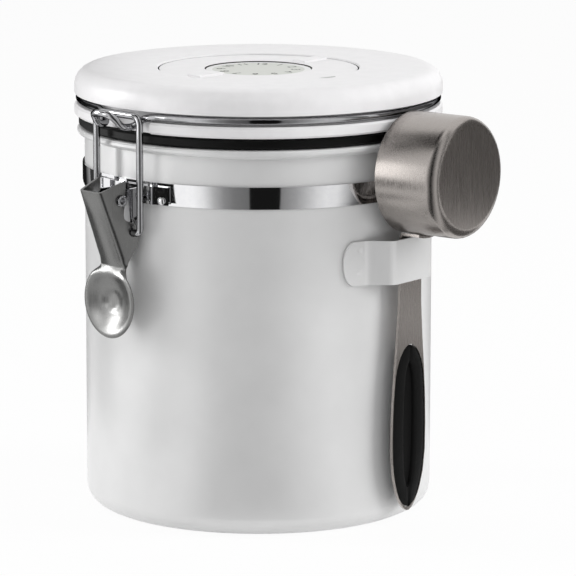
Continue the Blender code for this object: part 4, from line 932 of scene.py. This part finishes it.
def straight_to_the_eye(tree):
    """1 for rays from the camera, straight, in gloss or through glass, and 0 for those that gather light."""
    path = add(tree, "ShaderNodeLightPath")
    seen = path.outputs["Is Camera Ray"]
    for ray in ("Is Glossy Ray", "Is Transmission Ray"):
        seen = add(tree, "ShaderNodeMath", {0: seen, 1: path.outputs[ray]}, operation="MAXIMUM").outputs[0]
    return seen


def floor():
    """A wide pale floor that keeps the can's soft shadow and otherwise shows as the white background."""
    reach, glow_share = 12.0, 0.94
    mesh = bpy.data.meshes.new("floor")
    corners = [(-reach, -reach, 0), (reach, -reach, 0), (reach, reach, 0), (-reach, reach, 0)]
    mesh.from_pydata(corners, [], [(0, 1, 2, 3)])
    piece = linked("floor", mesh)
    piece.location.z = -0.05 * MM
    material, tree = empty_material("white_paper_floor")
    paper = add(tree, "ShaderNodeBsdfDiffuse", {"Color": linear("#F2F2F2")})
    glow = add(tree, "ShaderNodeEmission", {"Color": linear("#FFFFFF"), "Strength": 1.0})
    share = add(tree, "ShaderNodeMath", {0: straight_to_the_eye(tree), 1: glow_share}, operation="MULTIPLY")
    mixed = add(tree, "ShaderNodeMixShader", {0: share.outputs[0], 1: paper.outputs[0], 2: glow.outputs[0]})
    add(tree, "ShaderNodeOutputMaterial", {0: mixed.outputs[0]})
    mesh.materials.append(material)


def studio_air(ambient):
    """White all round to the eye and in gloss, and a plain soft light for the rest."""
    world = bpy.data.worlds.new("studio")
    bpy.context.scene.world = world
    world.use_nodes = True
    tree = world.node_tree
    tree.nodes.clear()
    inputs = {"Value": straight_to_the_eye(tree), "To Min": ambient, "To Max": 1.0}
    strength = add(tree, "ShaderNodeMapRange", inputs)
    inputs = {"Color": linear("#FFFFFF"), "Strength": strength.outputs[0]}
    light = add(tree, "ShaderNodeBackground", inputs)
    add(tree, "ShaderNodeOutputWorld", {0: light.outputs[0]})


def camera():
    """The camera that the photograph was taken with, from its fitted place."""
    away = Vector(
        (
            math.cos(CAMERA_AZIMUTH) * math.cos(CAMERA_PITCH),
            math.sin(CAMERA_AZIMUTH) * math.cos(CAMERA_PITCH),
            math.sin(CAMERA_PITCH),
        )
    )
    right = Vector((-math.sin(CAMERA_AZIMUTH), math.cos(CAMERA_AZIMUTH), 0))
    up = away.cross(right)
    lens = bpy.data.cameras.new("camera")
    lens.sensor_width = SENSOR_WIDTH_MM
    lens.lens = FOCAL_PIXELS / IMAGE_SIDE * SENSOR_WIDTH_MM
    lens.shift_x = SHIFT_PIXELS / IMAGE_SIDE
    lens.clip_start = NEAREST_SEEN
    lens.clip_end = FARTHEST_SEEN
    eye = linked("camera", lens)
    turned = Matrix((right, up, away)).transposed().to_4x4()
    turned.translation = CAMERA_AIM + away * CAMERA_DISTANCE
    eye.matrix_world = turned
    bpy.context.scene.camera = eye


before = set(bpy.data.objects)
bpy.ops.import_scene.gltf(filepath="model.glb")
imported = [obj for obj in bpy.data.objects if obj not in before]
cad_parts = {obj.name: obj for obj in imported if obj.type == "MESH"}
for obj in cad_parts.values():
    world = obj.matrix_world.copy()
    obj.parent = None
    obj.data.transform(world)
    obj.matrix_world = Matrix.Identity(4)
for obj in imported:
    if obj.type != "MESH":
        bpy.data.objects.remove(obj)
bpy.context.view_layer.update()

body_white = white_lacquer("white_lacquer_on_steel", "#E5E5E5", "#E1E1E1")
lid_white = moulded_plastic("white_moulded_plastic", "#F0EFF0", "#ECEBEC")
# The narrow gaps and recess walls round the dial's rings are painted dark grey: painted shade in the gaps
dial_white = moulded_plastic(
    "white_moulded_plastic_painted_gap_shade",
    "#F0EFF0",
    "#ECEBEC",
    # Radii and heights in millimetres of the painted gap shade, and its dark grey
    ring=(0, 35.6, 151.2, 153.78),
    ring_colour="#2E2C2A",
)
# The dial's disc is printed a pale grey-green up to a bare white rim
disc_grey = moulded_plastic(
    "printed_moulded_plastic",
    "#ECECEB",
    "#E8E8E7",
    ring=(0, 16.2, 153.3, 153.7),
    ring_colour="#CDCFC8",
)
band_steel = polished_steel("polished_steel_band", "#F2F2F3", "#EEEEF0", roughness=0.05, waviness=0.03)
# The wire's near-black edge tint paints dark shade along its grazing edges: a painted reflection of dark
# surroundings
wire_steel = polished_steel(
    "drawn_steel_wire", "#BEBEC0", "#B2B2B4", roughness=0.06, waviness=0.04, edge_tint="#101010"
)
lever_steel = brushed_steel(
    "satin_steel_lever", "#848483", "#7F7F7E", roughness=0.31, line_mm=0.2, depth=0.02
)
cup_steel = brushed_steel("brushed_steel_scoop", "#B4AEAA", "#A29C98", roughness=0.26)
screw_steel = polished_steel("turned_steel_screw", "#BDBDBF", "#AFAFB1", roughness=0.25, waviness=0.1)
seal_black = black_silicone(
    "black_silicone_seal", "#0C0C0C", "#080808", grain_mm=0.5, roughness=0.5, depth=0.1
)
grip_black = black_silicone(
    "black_silicone_grip", "#101010", "#070707", grain_mm=0.45, roughness=0.6, depth=0.6
)

FINISHES = [
    (body_white, ["canister_body"]),
    (band_steel, ["neck_band", "latch_bracket", "latch_rivet_left", "latch_rivet_right"]),
    (band_steel, ["hinge_bracket", "hinge_rivet_left", "hinge_rivet_right", "hinge_pin"]),
    (dial_white, ["lid_cover", "date_ring"]),
    (disc_grey, ["month_disc"]),
    (lid_white, ["lid_base", "lid_inner_plate", "dial_screw", "valve_guard", "valve_cap"]),
    (screw_steel, ["lid_screw_1", "lid_screw_2", "lid_screw_3", "lid_screw_4"]),
    (seal_black, ["lid_seal", "valve_flap"]),
    (cup_steel, ["scoop_cup", "scoop_handle"]),
]
EDGES = {"scoop_handle": HANDLE_EDGE}
for finish, names in FINISHES:
    for name in names:
        dress(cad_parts[name], finish, EDGES.get(name))
clamp_lever(lever_steel)
pivot_rivet(wire_steel)
clamp_loop(wire_steel)
lid_ring(wire_steel)
holder_strip(body_white)
soft_grip(grip_black)

printed_months(pad_print("dark_pad_print", "#0C0C0C", "#1A1A1A"))
# The half-oval mark beside the dial is a thin grey matt film on the cover
pointer_print(pad_print("grey_half_oval_mark", "#B4B5B3", "#BCBDBB"))

floor()
studio_air(ambient=0.45)
# Azimuth and elevation in degrees, distance, width, height, power in watts
softbox("softbox_left", -143, 14, 1.3, 0.25, 0.7, 8.3, in_gloss=True)
softbox("softbox_right", 40, 24, 1.4, 0.6, 0.9, 11.0)
softbox("softbox_front", -55, 45, 1.5, 1.0, 0.7, 3.8)
softbox("softbox_top", 100, 72, 1.5, 1.2, 1.2, 1.8)
# The studio that the polished steel mirrors, as share of the screen's width and grey
FRONT_SHADES = [
    (0.0, "#FFFFFF"),
    (0.202, "#FFFFFF"),
    (0.252, "#E9E9E9"),
    (0.299, "#B6B6B6"),
    (0.346, "#8E8E8E"),
    (0.392, "#797979"),
    (0.457, "#6D6D6D"),
    (0.463, "#171717"),
    (0.595, "#171717"),
    (0.602, "#828282"),
    (0.668, "#A0A0A0"),
    (0.715, "#BDBDBD"),
    (0.763, "#D9D9D9"),
    (0.812, "#E9E9E9"),
    (0.863, "#E4E4E4"),
    (0.915, "#B6B6B6"),
    (0.954, "#747474"),
    (1.0, "#303030"),
]
REAR_SHADES = [(0.0, "#A0A0A0"), (0.12, "#181818"), (0.88, "#181818"), (1.0, "#A0A0A0")]
# Middle and reach in degrees, radius, height, inner radius on the floor
graded_screen("graded_screen_front", -43, 66, 0.32, 0.75, 0.075, FRONT_SHADES)
graded_screen("dark_screen_rear", 137, 45, 0.35, 0.14, 0.10, REAR_SHADES)
# Azimuth in degrees, distance, width, lowest and highest edge
upright_card("dark_card_right", 62, 0.45, 0.5, 0.0, 0.45, "#6A6968")
upright_card("dark_card_above", -122, 0.54, 0.5, 0.42, 0.80, "#202020")
upright_card("dark_card_left", 172, 0.5, 0.5, 0.0, 0.4, "#383838")
upright_card("dark_card_lever", -148, 0.148, 0.07, 0.005, 0.075, "#303030")
upright_card("dark_card_clamp", -101, 0.30, 0.075, 0.012, 0.086, "#141414")
upright_card("bright_card_scoop", -105, 0.31, 0.08, 0.10, 0.24, "#FFFFFF", strength=3.0)
# Place on the floor and radius
level_card("dark_patch_tab", -0.03, -0.16, 0.03, "#202020")
level_card("dark_patch_right", 0.17, 0.16, 0.11, "#6A6968")
level_card("dark_patch_above", 0.0, -0.12, 0.13, "#1C1A18", height=0.45)
camera()

bpy.context.scene.view_settings.view_transform = "Standard"
